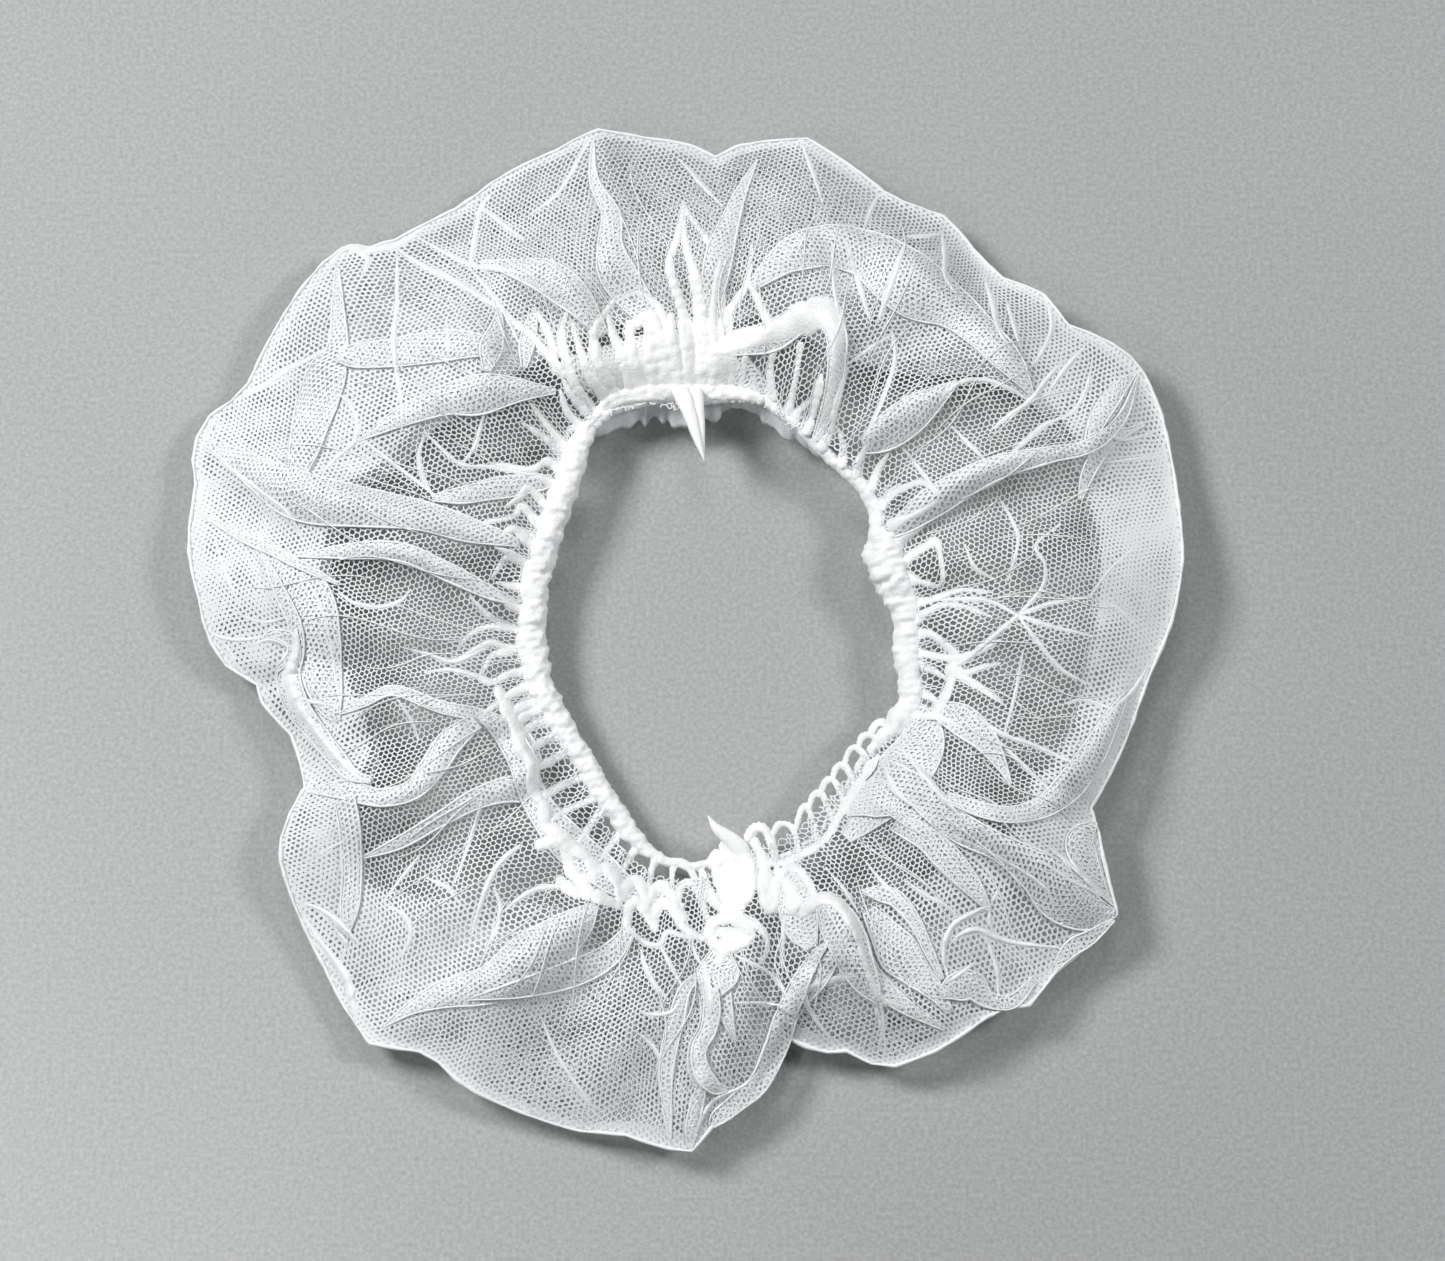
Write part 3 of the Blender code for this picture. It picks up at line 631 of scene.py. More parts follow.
# %% Table of pleats
PLEATS = {
    "left_upright": [
        (337, 268, 5), (338, 310, 14), (338, 345, 22), (328, 370, 42), (318, 400, 46), (309, 432, 38),
        (300, 465, 24), (296, 490, 6)
    ],
    "left_shelf": [
        (335, 362, 2), (352, 357, 24), (400, 352, 34), (450, 345, 34), (490, 347, 20), (510, 350, 2)
    ],
    "left_leaf": [
        (358, 441, 2), (400, 418, 20), (440, 402, 30), (480, 394, 38), (515, 390, 26), (556, 392, 5)
    ],
    "left_wing": [
        (198, 440, 3), (225, 452, 16), (260, 474, 34), (300, 495, 48), (360, 505, 44), (420, 515, 34),
        (470, 530, 26), (520, 544, 9)
    ],
    "left_fan": [(432, 499, 8), (462, 496, 17), (498, 489, 22), (530, 484, 20), (553, 482, 10)],
    "left_panel": [
        (250, 535, 6), (284, 568, 32), (309, 600, 48), (319, 640, 44), (322, 675, 40), (330, 705, 26),
        (338, 722, 6)
    ],
    "left_crease": [
        (296, 557, 2), (345, 552, 15), (400, 552, 18), (450, 573, 18), (490, 593, 14), (520, 604, 5)
    ],
    "left_arm": [
        (340, 714, 3), (365, 702, 11), (395, 691, 13), (440, 707, 13), (485, 718, 16), (520, 740, 24),
        (540, 770, 10)
    ],
    "left_hook": [
        (477, 722, 14), (450, 742, 26), (432, 768, 26), (412, 790, 20), (380, 798, 18), (345, 790, 20),
        (306, 791, 4)
    ],
    "left_slope": [
        (362, 858, 3), (400, 843, 12), (440, 820, 14), (480, 798, 20), (520, 790, 24), (550, 812, 12)
    ],
    "left_band": [(345, 800, 22), (350, 830, 22), (352, 870, 20), (350, 905, 20), (345, 935, 10)],
    "low_leaf": [
        (383, 1027, 2), (412, 1008, 14), (445, 994, 28), (490, 984, 38), (530, 960, 56), (575, 925, 34),
        (596, 905, 8)
    ],
    "low_leaf_edge": [(470, 1000, 3), (520, 990, 16), (574, 974, 24), (610, 955, 22), (632, 926, 10)],
    "low_strand": [(845, 930, 16), (820, 970, 26), (797, 1000, 22), (780, 1030, 16), (762, 1066, 3)],
    "low_right_strand": [(826, 905, 14), (850, 932, 28), (866, 970, 24), (900, 1003, 16), (945, 1030, 3)],
    "right_mass": [
        (912, 705, 14), (922, 728, 36), (918, 750, 50), (900, 775, 56), (880, 800, 48), (862, 822, 28),
        (846, 838, 14)
    ],
    "right_mass_low": [
        (845, 812, 12), (870, 800, 40), (895, 795, 50), (920, 805, 44), (945, 820, 30), (965, 832, 14)
    ],
    "right_sash": [
        (880, 768, 20), (920, 795, 30), (955, 826, 28), (1000, 848, 24), (1035, 870, 38), (1062, 894, 52),
        (1088, 911, 38), (1115, 914, 8)
    ],
    "right_spear": [
        (895, 822, 18), (925, 838, 24), (945, 856, 28), (965, 878, 24), (980, 897, 14), (990, 911, 5)
    ],
    "right_corner": [(1096, 822, 4), (1080, 842, 30), (1088, 868, 26), (1108, 898, 5)],
    "low_patch": [
        (868, 910, 14), (885, 935, 32), (899, 955, 42), (916, 973, 30), (935, 992, 18), (950, 1012, 8)
    ],
    "low_shoulder": [
        (862, 892, 4), (880, 894, 16), (897, 900, 16), (915, 922, 12), (928, 950, 10), (942, 980, 6)
    ],
    "low_window": [
        (940, 996, 8), (955, 988, 26), (972, 986, 28), (988, 1000, 16), (1012, 1002, 14), (1034, 980, 8)
    ],
    "low_right_hem": [(1050, 975, 4), (1070, 950, 16), (1090, 938, 14), (1114, 920, 4)],
    "tail_left": [
        (698, 975, 8), (684, 992, 12), (677, 1018, 16), (670, 1045, 16), (666, 1075, 14), (667, 1105, 10),
        (670, 1140, 4)
    ],
    "tail_right": [
        (708, 990, 20), (710, 1010, 18), (706, 1030, 16), (697, 1048, 16), (698, 1070, 18), (708, 1086, 16),
        (730, 1090, 4)
    ],
    "tail_end": [(702, 1085, 10), (697, 1105, 13), (692, 1128, 13), (690, 1150, 4)],
    "tail_spur": [(722, 992, 18), (725, 1010, 15), (730, 1026, 9), (735, 1040, 3)],
    "low_edge": [
        (800, 980, 10), (786, 1018, 22), (776, 1048, 22), (760, 1082, 20), (737, 1103, 18), (716, 1120, 14),
        (711, 1129, 2)
    ],
    "right_wedge": [(930, 708, 14), (960, 720, 30), (983, 738, 24), (998, 760, 14), (1011, 784, 3)],
    "right_tuck": [
        (945, 798, 12), (985, 811, 16), (1015, 815, 18), (1045, 806, 22), (1070, 785, 28), (1092, 755, 26),
        (1110, 722, 18), (1126, 694, 6)
    ],
    "right_fold": [
        (1084, 458, 6), (1090, 440, 12), (1098, 420, 18), (1111, 399, 19), (1124, 384, 12), (1136, 373, 3)
    ],
    "right_under_fold": [(1080, 500, 5), (1087, 476, 13), (1098, 455, 15), (1112, 440, 11), (1145, 424, 4)],
    "right_petal": [(862, 446, 16), (890, 430, 34), (915, 412, 34), (940, 395, 18), (958, 381, 5)],
    "right_ray": [
        (885, 535, 12), (905, 522, 22), (935, 500, 30), (990, 470, 24), (1050, 455, 16), (1092, 446, 14),
        (1122, 418, 10), (1138, 375, 2)
    ],
    "top_flap": [
        (748, 290, 10), (790, 256, 36), (830, 246, 46), (870, 254, 56), (912, 282, 72), (950, 304, 52),
        (985, 335, 36), (1010, 362, 30), (1032, 395, 6)
    ],
    "top_stalk": [
        (593, 140, 3), (594, 180, 10), (611, 215, 20), (610, 245, 26), (618, 275, 38), (648, 318, 26)
    ],
    "top_blade": [(757, 160, 3), (740, 195, 13), (727, 230, 22), (718, 262, 28), (706, 330, 18)],
    "top_left_band": [(480, 262, 3), (512, 268, 20), (545, 275, 34), (575, 297, 32), (604, 336, 12)],
    "top_mass": [
        (568, 360, 10), (588, 370, 36), (612, 371, 50), (640, 367, 58), (665, 364, 64), (690, 363, 64),
        (714, 366, 56), (738, 375, 36), (758, 385, 18), (772, 396, 8)
    ],
    "flame_left": [(500, 306, 3), (497, 328, 14), (491, 350, 22), (487, 372, 8)],
    "flame_second": [(535, 308, 3), (531, 326, 14), (527, 346, 16), (524, 368, 6)],
    "gather_band": [
        (480, 716, 8), (505, 734, 24), (522, 760, 28), (530, 788, 26), (545, 815, 30), (568, 843, 38),
        (598, 868, 36), (628, 890, 26), (655, 900, 20), (684, 908, 8)
    ],
    "loop_fill": [(786, 872, 12), (792, 890, 30), (797, 910, 36), (803, 930, 32), (812, 948, 12)],
    "bead": [(724, 944, 12), (720, 958, 28), (718, 973, 42), (714, 986, 32), (710, 1000, 14)],
    "tail_roll": [
        (711, 990, 14), (712, 1012, 17), (708, 1032, 16), (700, 1046, 15), (699, 1060, 15), (704, 1076, 17),
        (715, 1088, 14), (727, 1090, 4)
    ],
    "top_roll": [
        (728, 354, 12), (750, 343, 26), (775, 335, 30), (800, 320, 28), (822, 316, 22), (836, 334, 22),
        (836, 370, 18), (830, 405, 16), (816, 438, 8)
    ],
    "low_coil": [
        (822, 902, 16), (836, 918, 36), (847, 940, 38), (856, 962, 34), (867, 984, 24), (880, 1004, 6)
    ],
    "low_leg": [(826, 945, 6), (815, 958, 12), (804, 976, 16), (795, 995, 20), (786, 1014, 20)],
    "left_roll": [
        (266, 560, 5), (280, 592, 12), (294, 622, 14), (297, 648, 18), (289, 678, 26), (298, 708, 24),
        (316, 732, 20), (336, 757, 18), (352, 775, 14), (372, 781, 8)
    ],
    "left_ledge": [(196, 510, 3), (240, 536, 9), (272, 552, 10), (304, 568, 9), (338, 584, 4)],
    "left_pocket": [(262, 640, 4), (272, 634, 8), (290, 640, 12), (292, 656, 10), (276, 672, 6)],
}
# These folds lie packed beside the band or in a knot, and are filled with whiter net.
SOLID_FOLDS = ("right_mass", "right_mass_low", "top_roll", "loop_fill", "bead", "tail_roll")
print("places read for the pleats:", sum(len(rows) for rows in PLEATS.values()))

# %% [markdown]
# ## How a pleat lies
# The two extra layers are one strip of net folded along its middle, with a thin roll of thread along each
# edge. A plain milky layer between them stands for what too many threads would be needed for. A pleat lies
# on whatever is below it, the net or the pleats listed before it, so crossing folds climb over each other.

# %% Shapes of the pleats
PLEAT_FULLNESS = 1.65
PLEAT_UNEVEN = 0.17 * MM
LAYER_RISE = 0.7 * MM
ARCH = 0.085
TOP_MASS_ARCH = 0.08
FILLING_COLUMNS = 9
EDGE_RADIUS = 0.33 * MM
BESIDE = 3 * MM
ROUTE_STEP = 1.0 * MM
FULL_RISE_WIDTH = 4 * MM
INSIDE_LEVEL = 0.6
LOWER_LEVEL = 0.8
FIRST_TURN = 0.5
NEXT_TURN = 0.37


def plain_band(rows, along, across):
    """A band of quads from rows of points, in the same form as a strip of net but with no triangles."""
    index = np.arange(across.size).reshape(across.shape)
    quads = np.stack([index[:-1, :-1], index[:-1, 1:], index[1:, 1:], index[1:, :-1]], axis=-1).reshape(-1, 4)
    flat = np.stack([np.broadcast_to(along, across.shape), across], axis=-1).reshape(-1, 2)
    return np.concatenate(rows), flat, np.zeros((0, 3), int), quads


class Pleat:
    """A laid-over fold: its route in plan, its width along the route, and the height that it lies at."""

    def __init__(self, route, width, below, arch=ARCH):
        self.arch = arch
        self.route = route
        self.width = width
        steps = np.linalg.norm(np.diff(self.route, axis=0), axis=1)
        self.along = np.concatenate([[0], np.cumsum(steps)])
        ahead = unit(np.gradient(self.route, axis=0))
        self.side = np.column_stack([-ahead[:, 1], ahead[:, 0]])
        self.below = list(below)

    def read(self, values, along):
        return np.interp(along, self.along, values)

    def place(self, along, across):
        route = np.column_stack([self.read(self.route[:, axis], along) for axis in (0, 1)])
        side = np.column_stack([self.read(self.side[:, axis], along) for axis in (0, 1)])
        return route + side * across[:, None]

    def lift(self, places):
        """How far this pleat's top lies above what is below it, at places in plan."""
        reach = self.width.max() / 2 + BESIDE
        low = self.route.min(axis=0) - reach
        high = self.route.max(axis=0) + reach
        near = ((places > low) & (places < high)).all(axis=1)
        gap = np.linalg.norm(places[near][:, None] - self.route[None], axis=2)
        nearest = gap.argmin(axis=1)
        width = self.width[nearest]
        away = gap[np.arange(len(gap)), nearest]
        arch = self.arch * width * np.clip(1 - (2 * away / width) ** 2, 0, 1)
        found = np.zeros(len(places))
        beside = eased(1 - (away - width / 2) / BESIDE)
        found[near] = (LAYER_RISE + arch) * beside * eased(width / FULL_RISE_WIDTH)
        return found

    def ground(self, places):
        """The height of what this pleat lies on."""
        return net_height(places) + sum((pleat.lift(places) for pleat in self.below), np.zeros(len(places)))

    def worn(self, flat):
        """Places of the folded strip's points. It is twice as wide as the band when it is flat."""
        along, sheet = flat.T
        width = self.read(self.width, along)
        across = np.abs(sheet) - width / 2
        places = self.place(along, across)
        level = LOWER_LEVEL + (1 - LOWER_LEVEL) * eased(sheet / MM + 0.5)
        height = self.height(places, across, width, level)
        kept = (along > 0) & (along < self.along[-1]) & (np.abs(sheet) < width)
        return np.column_stack([places, height]), kept, np.full(len(flat), PLEAT_FULLNESS)

    def height(self, places, across, width, share):
        """The height of a layer of this pleat, which lies at a share of its rise and arch."""
        arch = self.arch * width * np.clip(1 - (2 * across / width) ** 2, 0, 1)
        return self.ground(places) + (LAYER_RISE * eased(width / FULL_RISE_WIDTH) + arch) * share

    def filling(self):
        """The layer inside the fold."""
        across = np.linspace(-0.49, 0.49, FILLING_COLUMNS)[:, None] * self.width
        rows = []
        for line in across:
            places = self.place(self.along, line)
            rows.append(np.column_stack([places, self.height(places, line, self.width, INSIDE_LEVEL)]))
        return plain_band(rows, self.along, across)

    def net(self, number):
        reach = self.width.max()
        turn = FIRST_TURN + NEXT_TURN * number
        return honeycomb((0, -reach), (self.along[-1], reach), turn, number, self.worn, PLEAT_UNEVEN)

    def edges(self):
        """The two rolled edges, as grids of points."""
        made = []
        for sign in (-1, 1):
            places = self.place(self.along, sign * (self.width / 2 - EDGE_RADIUS * 0.6))
            height = self.ground(places) + LAYER_RISE * eased(self.width / FULL_RISE_WIDTH)
            thin = np.sqrt(np.clip(np.minimum(self.along, self.along[-1] - self.along) / (6 * MM), 0.02, 1))
            radius = EDGE_RADIUS * (0.35 + 0.65 * thin) * (1 + 0.25 * waves(places, 14 * MM, 7))
            made.append(tube(np.column_stack([places, height]), radius, 0.6, 5))
        return made


pleats = {}
for name, rows in PLEATS.items():
    rows = curve(rows, ROUTE_STEP / PIXEL)
    arch = TOP_MASS_ARCH if name == "top_mass" else ARCH
    pleats[name] = Pleat(on_net(rows[:, :2]), np.maximum(rows[:, 2], 1) * PIXEL, pleats.values(), arch)
print(len(pleats), "pleats, together", round(sum(pleat.along[-1] for pleat in pleats.values()), 2), "m long")


def top_of_net(places):
    """The height of whatever is on top at places in plan: the net, or the pleats that lie on it."""
    places = np.asarray(places)
    return net_height(places) + sum((pleat.lift(places) for pleat in pleats.values()), np.zeros(len(places)))


# %% [markdown]
# ## The sheet
# The sheet starts as a flat ring, which keeps its cells even. It is pinched into gathers at the band and
# turned under at the rim, where a hem of doubled net and a thin roll make the edge crisp.

# %% From the flat sheet to the cap
SHEET_TURN = math.radians(17)
DRAW_IN = 3 * MM
DRAW_IN_OVER = 25 * MM
GATHERS = 58
PINCH = 0.7
PINCH_OVER = 9 * MM
GATHER_RISE = 0.8 * MM
UNDER_SETTLE = 14 * MM
SWAY = 1.6 * MM
RIPPLE = 0.22 * MM
UNDER_FULLNESS = 1.8
DOUBLED_MEAN = 0.8
DOUBLED_SWING = 0.7
HEM_FULLNESS = 1.5
PATCHY = 0.14
HEM_OVER = 2.2 * MM
HEM_WIDTH = 3.0 * MM
HEM_SINK = 0.15 * MM
HEM_PART = 45
HEM_UNEVEN = 0.4
HEM_WAVE = 45 * MM
HEM_SEED = 33
HEM_ROWS = 5
HEM_START = 0.1

draw = np.random.default_rng(11)
gather_angles = (np.arange(GATHERS) + draw.uniform(-0.28, 0.28, GATHERS)) * 360 / GATHERS
gather_edges = (gather_angles + np.roll(gather_angles, 1)) / 2
gather_edges[0] = (gather_angles[-1] - 360 + gather_angles[0]) / 2
smooth_window = np.hanning(15) / np.hanning(15).sum()
smooth_rim = np.convolve(np.tile(RIM_REACH, 3), smooth_window, "same")[len(RIM_REACH) : 2 * len(RIM_REACH)]


def pinched(angle, amount):
    """Angles drawn towards the nearest gather by an amount from 0 up, and how near each comes to one."""
    turned = (angle - gather_edges[0]) % 360 + gather_edges[0]
    number = np.clip(np.searchsorted(gather_edges, turned, "right") - 1, 0, GATHERS - 1)
    ends = np.append(gather_edges[1:], gather_edges[0] + 360)
    middle = gather_angles[number]
    away = turned - middle
    half = np.where(away < 0, middle - gather_edges[number], ends[number] - middle)
    drawn = (np.abs(away) / half) ** (1 + amount)
    return middle + np.sign(away) * half * drawn, 1 - drawn


def drawn_in(flat):
    """Reach and angle on the cap for points of the flat sheet before its rim is turned, and how near each
    comes to a gather."""
    swayed = flat + SWAY * np.column_stack([waves(flat, 70 * MM, 3), waves(flat, 70 * MM, 4)])
    swayed = swayed + RIPPLE * np.column_stack([waves(flat, 11 * MM, 5), waves(flat, 11 * MM, 6)])
    reach, angle = to_polar(swayed)
    past_band = np.maximum(reach - start_at(angle) - DRAW_IN, -DRAW_IN)
    reach = reach - DRAW_IN * np.exp(-past_band / DRAW_IN_OVER)
    near_band = np.exp(-np.maximum(reach - start_at(angle), 0) / PINCH_OVER)
    angle, ridge = pinched(angle, PINCH * near_band)
    return reach, angle, ridge * near_band


def turned_under(flat):
    """Which points of the flat sheet lie past the rim."""
    reach, angle, _ = drawn_in(flat)
    return reach > rim_at(angle)


def worn_sheet(flat):
    """Places on the cap for points of the flat sheet, which of them are kept, and how full the thread is."""
    reach, angle, gathered = drawn_in(flat)
    rim = rim_at(angle)
    beyond = reach - rim
    upper = beyond <= 0
    settled = eased(beyond / UNDER_SETTLE)
    folded = rim * (1 - settled) + ring(smooth_rim, angle) * settled - beyond
    plan = from_polar(np.where(upper, reach, np.minimum(folded, rim)), angle)
    height = np.where(upper, net_height(plan) + GATHER_RISE * gathered, under_height(plan))
    under_edge = ring(UNDER_REACH, angle)
    kept = (reach > start_at(angle) - 2 * MM) & (upper | (folded > under_edge))
    doubled = np.where(upper, 0.55 * eased((reach - under_edge) / (2 * MM)), 1)
    doubled = doubled * (DOUBLED_MEAN + DOUBLED_SWING * np.cos(2 * np.radians(angle)))
    hem = np.exp(-np.abs(beyond) / HEM_OVER)
    uneven = 1 + PATCHY * waves(flat, 24 * MM, 8) + 0.6 * PATCHY * waves(flat, 9 * MM, 9)
    full = np.maximum(uneven, 0.6) * (1 + UNDER_FULLNESS * doubled + HEM_FULLNESS * hem)
    return np.column_stack([plan, height]), kept, full


print("gathers at the band:", GATHERS)

# %% [markdown]
# ## Five panels
# The one sheet is kept as three panels of its upper layer and two of the layer that is turned under, each
# from one angle round the eye to another. A panel's place on the flat sheet is also its UV map.

# %% Net panels
PANELS = {
    "net_panel_right": (270, 30, False),
    "net_panel_top": (30, 150, False),
    "net_panel_left": (150, 270, False),
    "under_net_top": (0, 180, True),
    "under_net_bottom": (180, 0, True),
}
SHEET_REACH = RIM_REACH.max() + 50 * MM
SHEET_SEED = 5
sheet = honeycomb(EYE_CENTRE - SHEET_REACH, EYE_CENTRE + SHEET_REACH, SHEET_TURN, SHEET_SEED, worn_sheet)
points, flat, triangles, quads = sheet
_, sheet_angle = to_polar(flat)
below = turned_under(flat)
net_panels = {}
for name, (first, last, under) in PANELS.items():
    inside = ((sheet_angle - first) % 360 < (last - first - 1) % 360 + 1) & (below == under)
    faces = [group[inside[group[:, 0]]] for group in (triangles, quads)]
    corners = np.concatenate([group.ravel() for group in faces])
    low = flat[corners].min(axis=0)
    size = flat[corners].max(axis=0) - low
    # The layer turned under takes the thread that is painted lighter, which makes up for the shade of the
    # upper layer over it.
    material = finishes["thread_painted_lighter"] if under else finishes["net_thread"]
    made = mesh_object(name, points, faces, ((flat - low) / size.max())[corners], material, False)
    net_panels[name] = (made, size, thread_area(points, *faces))
    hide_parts("net_ruffle")
    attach(made, "root")
    print(name, len(faces[0]) + 2 * len(faces[1]), "triangles, flat size in mm:", (size / MM).round())

# %% [markdown]
# ## Folded strips
# All pleats together make three pieces: their net, the milky layer inside them, and a whiter one where they
# are packed tight. A hem of the milky layer runs inside the rim, where the turned net lies closest.

# %% Pleats as folded strips of net
def strips_object(name, nets, material, smooth=False):
    """One object from several strips of net, with their flat shapes side by side in its UV map."""
    lows = [flat[np.concatenate([three.ravel(), four.ravel()])].min(axis=0) for _, flat, three, four in nets]
    highs = [flat[np.concatenate([three.ravel(), four.ravel()])].max(axis=0) for _, flat, three, four in nets]
    places, scale = shelved([high - low + 0.5 * MM for low, high in zip(lows, highs)])
    first = 0
    points, threes, fours, spots = [], [], [], []
    for (strip, flat, three, four), low, place in zip(nets, lows, places):
        points.append(strip)
        threes.append(three + first)
        fours.append(four + first)
        spots.append(place + (flat - low) * scale)
        first += len(strip)
    faces = [np.concatenate(threes), np.concatenate(fours)]
    corners = np.concatenate([group.ravel() for group in faces])
    return mesh_object(name, np.concatenate(points), faces, np.concatenate(spots)[corners], material, smooth)


def dressed(made, node):
    """Hides the solid that a piece stands for, and hangs the piece on the one body, at rest."""
    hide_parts(node)
    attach(made, "root")
    return made


def hem_band(start):
    """A part of the plain band just inside the rim, where the turned net lies closest."""
    angles = np.arange(start, start + HEM_PART + 0.5, 0.5)
    outside = from_polar(rim_at(angles), angles)
    width = HEM_WIDTH * (1 + HEM_UNEVEN * waves(outside, HEM_WAVE, HEM_SEED))
    across = np.linspace(HEM_START, 1, HEM_ROWS)[:, None] * width
    rows = []
    for line in across:
        places = from_polar(rim_at(angles) - line, angles)
        rows.append(np.column_stack([places, net_height(places) - HEM_SINK]))
    return plain_band(rows, np.radians(angles - start) * rim_at(angles).mean(), across)


strips = [pleat.net(number) for number, pleat in enumerate(pleats.values())]
# The pleats' thread is painted lighter than the open net's, to make up for how the light falls on them.
pleat_net = dressed(strips_object("pleats", strips, finishes["thread_painted_lighter"]), "net_ruffle")
fillings = [pleat.filling() for name, pleat in pleats.items() if name not in SOLID_FOLDS]
fillings += [hem_band(start) for start in range(0, 360, HEM_PART)]
pleat_fill = dressed(strips_object("pleat_fill", fillings, finishes["fold_inside"]), "net_ruffle")
masses = [pleats[name].filling() for name in SOLID_FOLDS]
mass_fill = dressed(strips_object("mass_fill", masses, finishes["knotted_net"]), "elastic_band")
print("pleats:", len(pleat_net.data.polygons), "faces of net,", len(pleat_fill.data.polygons), "inside")

# %% [markdown]
# ## Creases
# Where the net is only pinched, its threads bunch into a thin white line. Each row is again a place in the
# photo and a width there, in pixels.

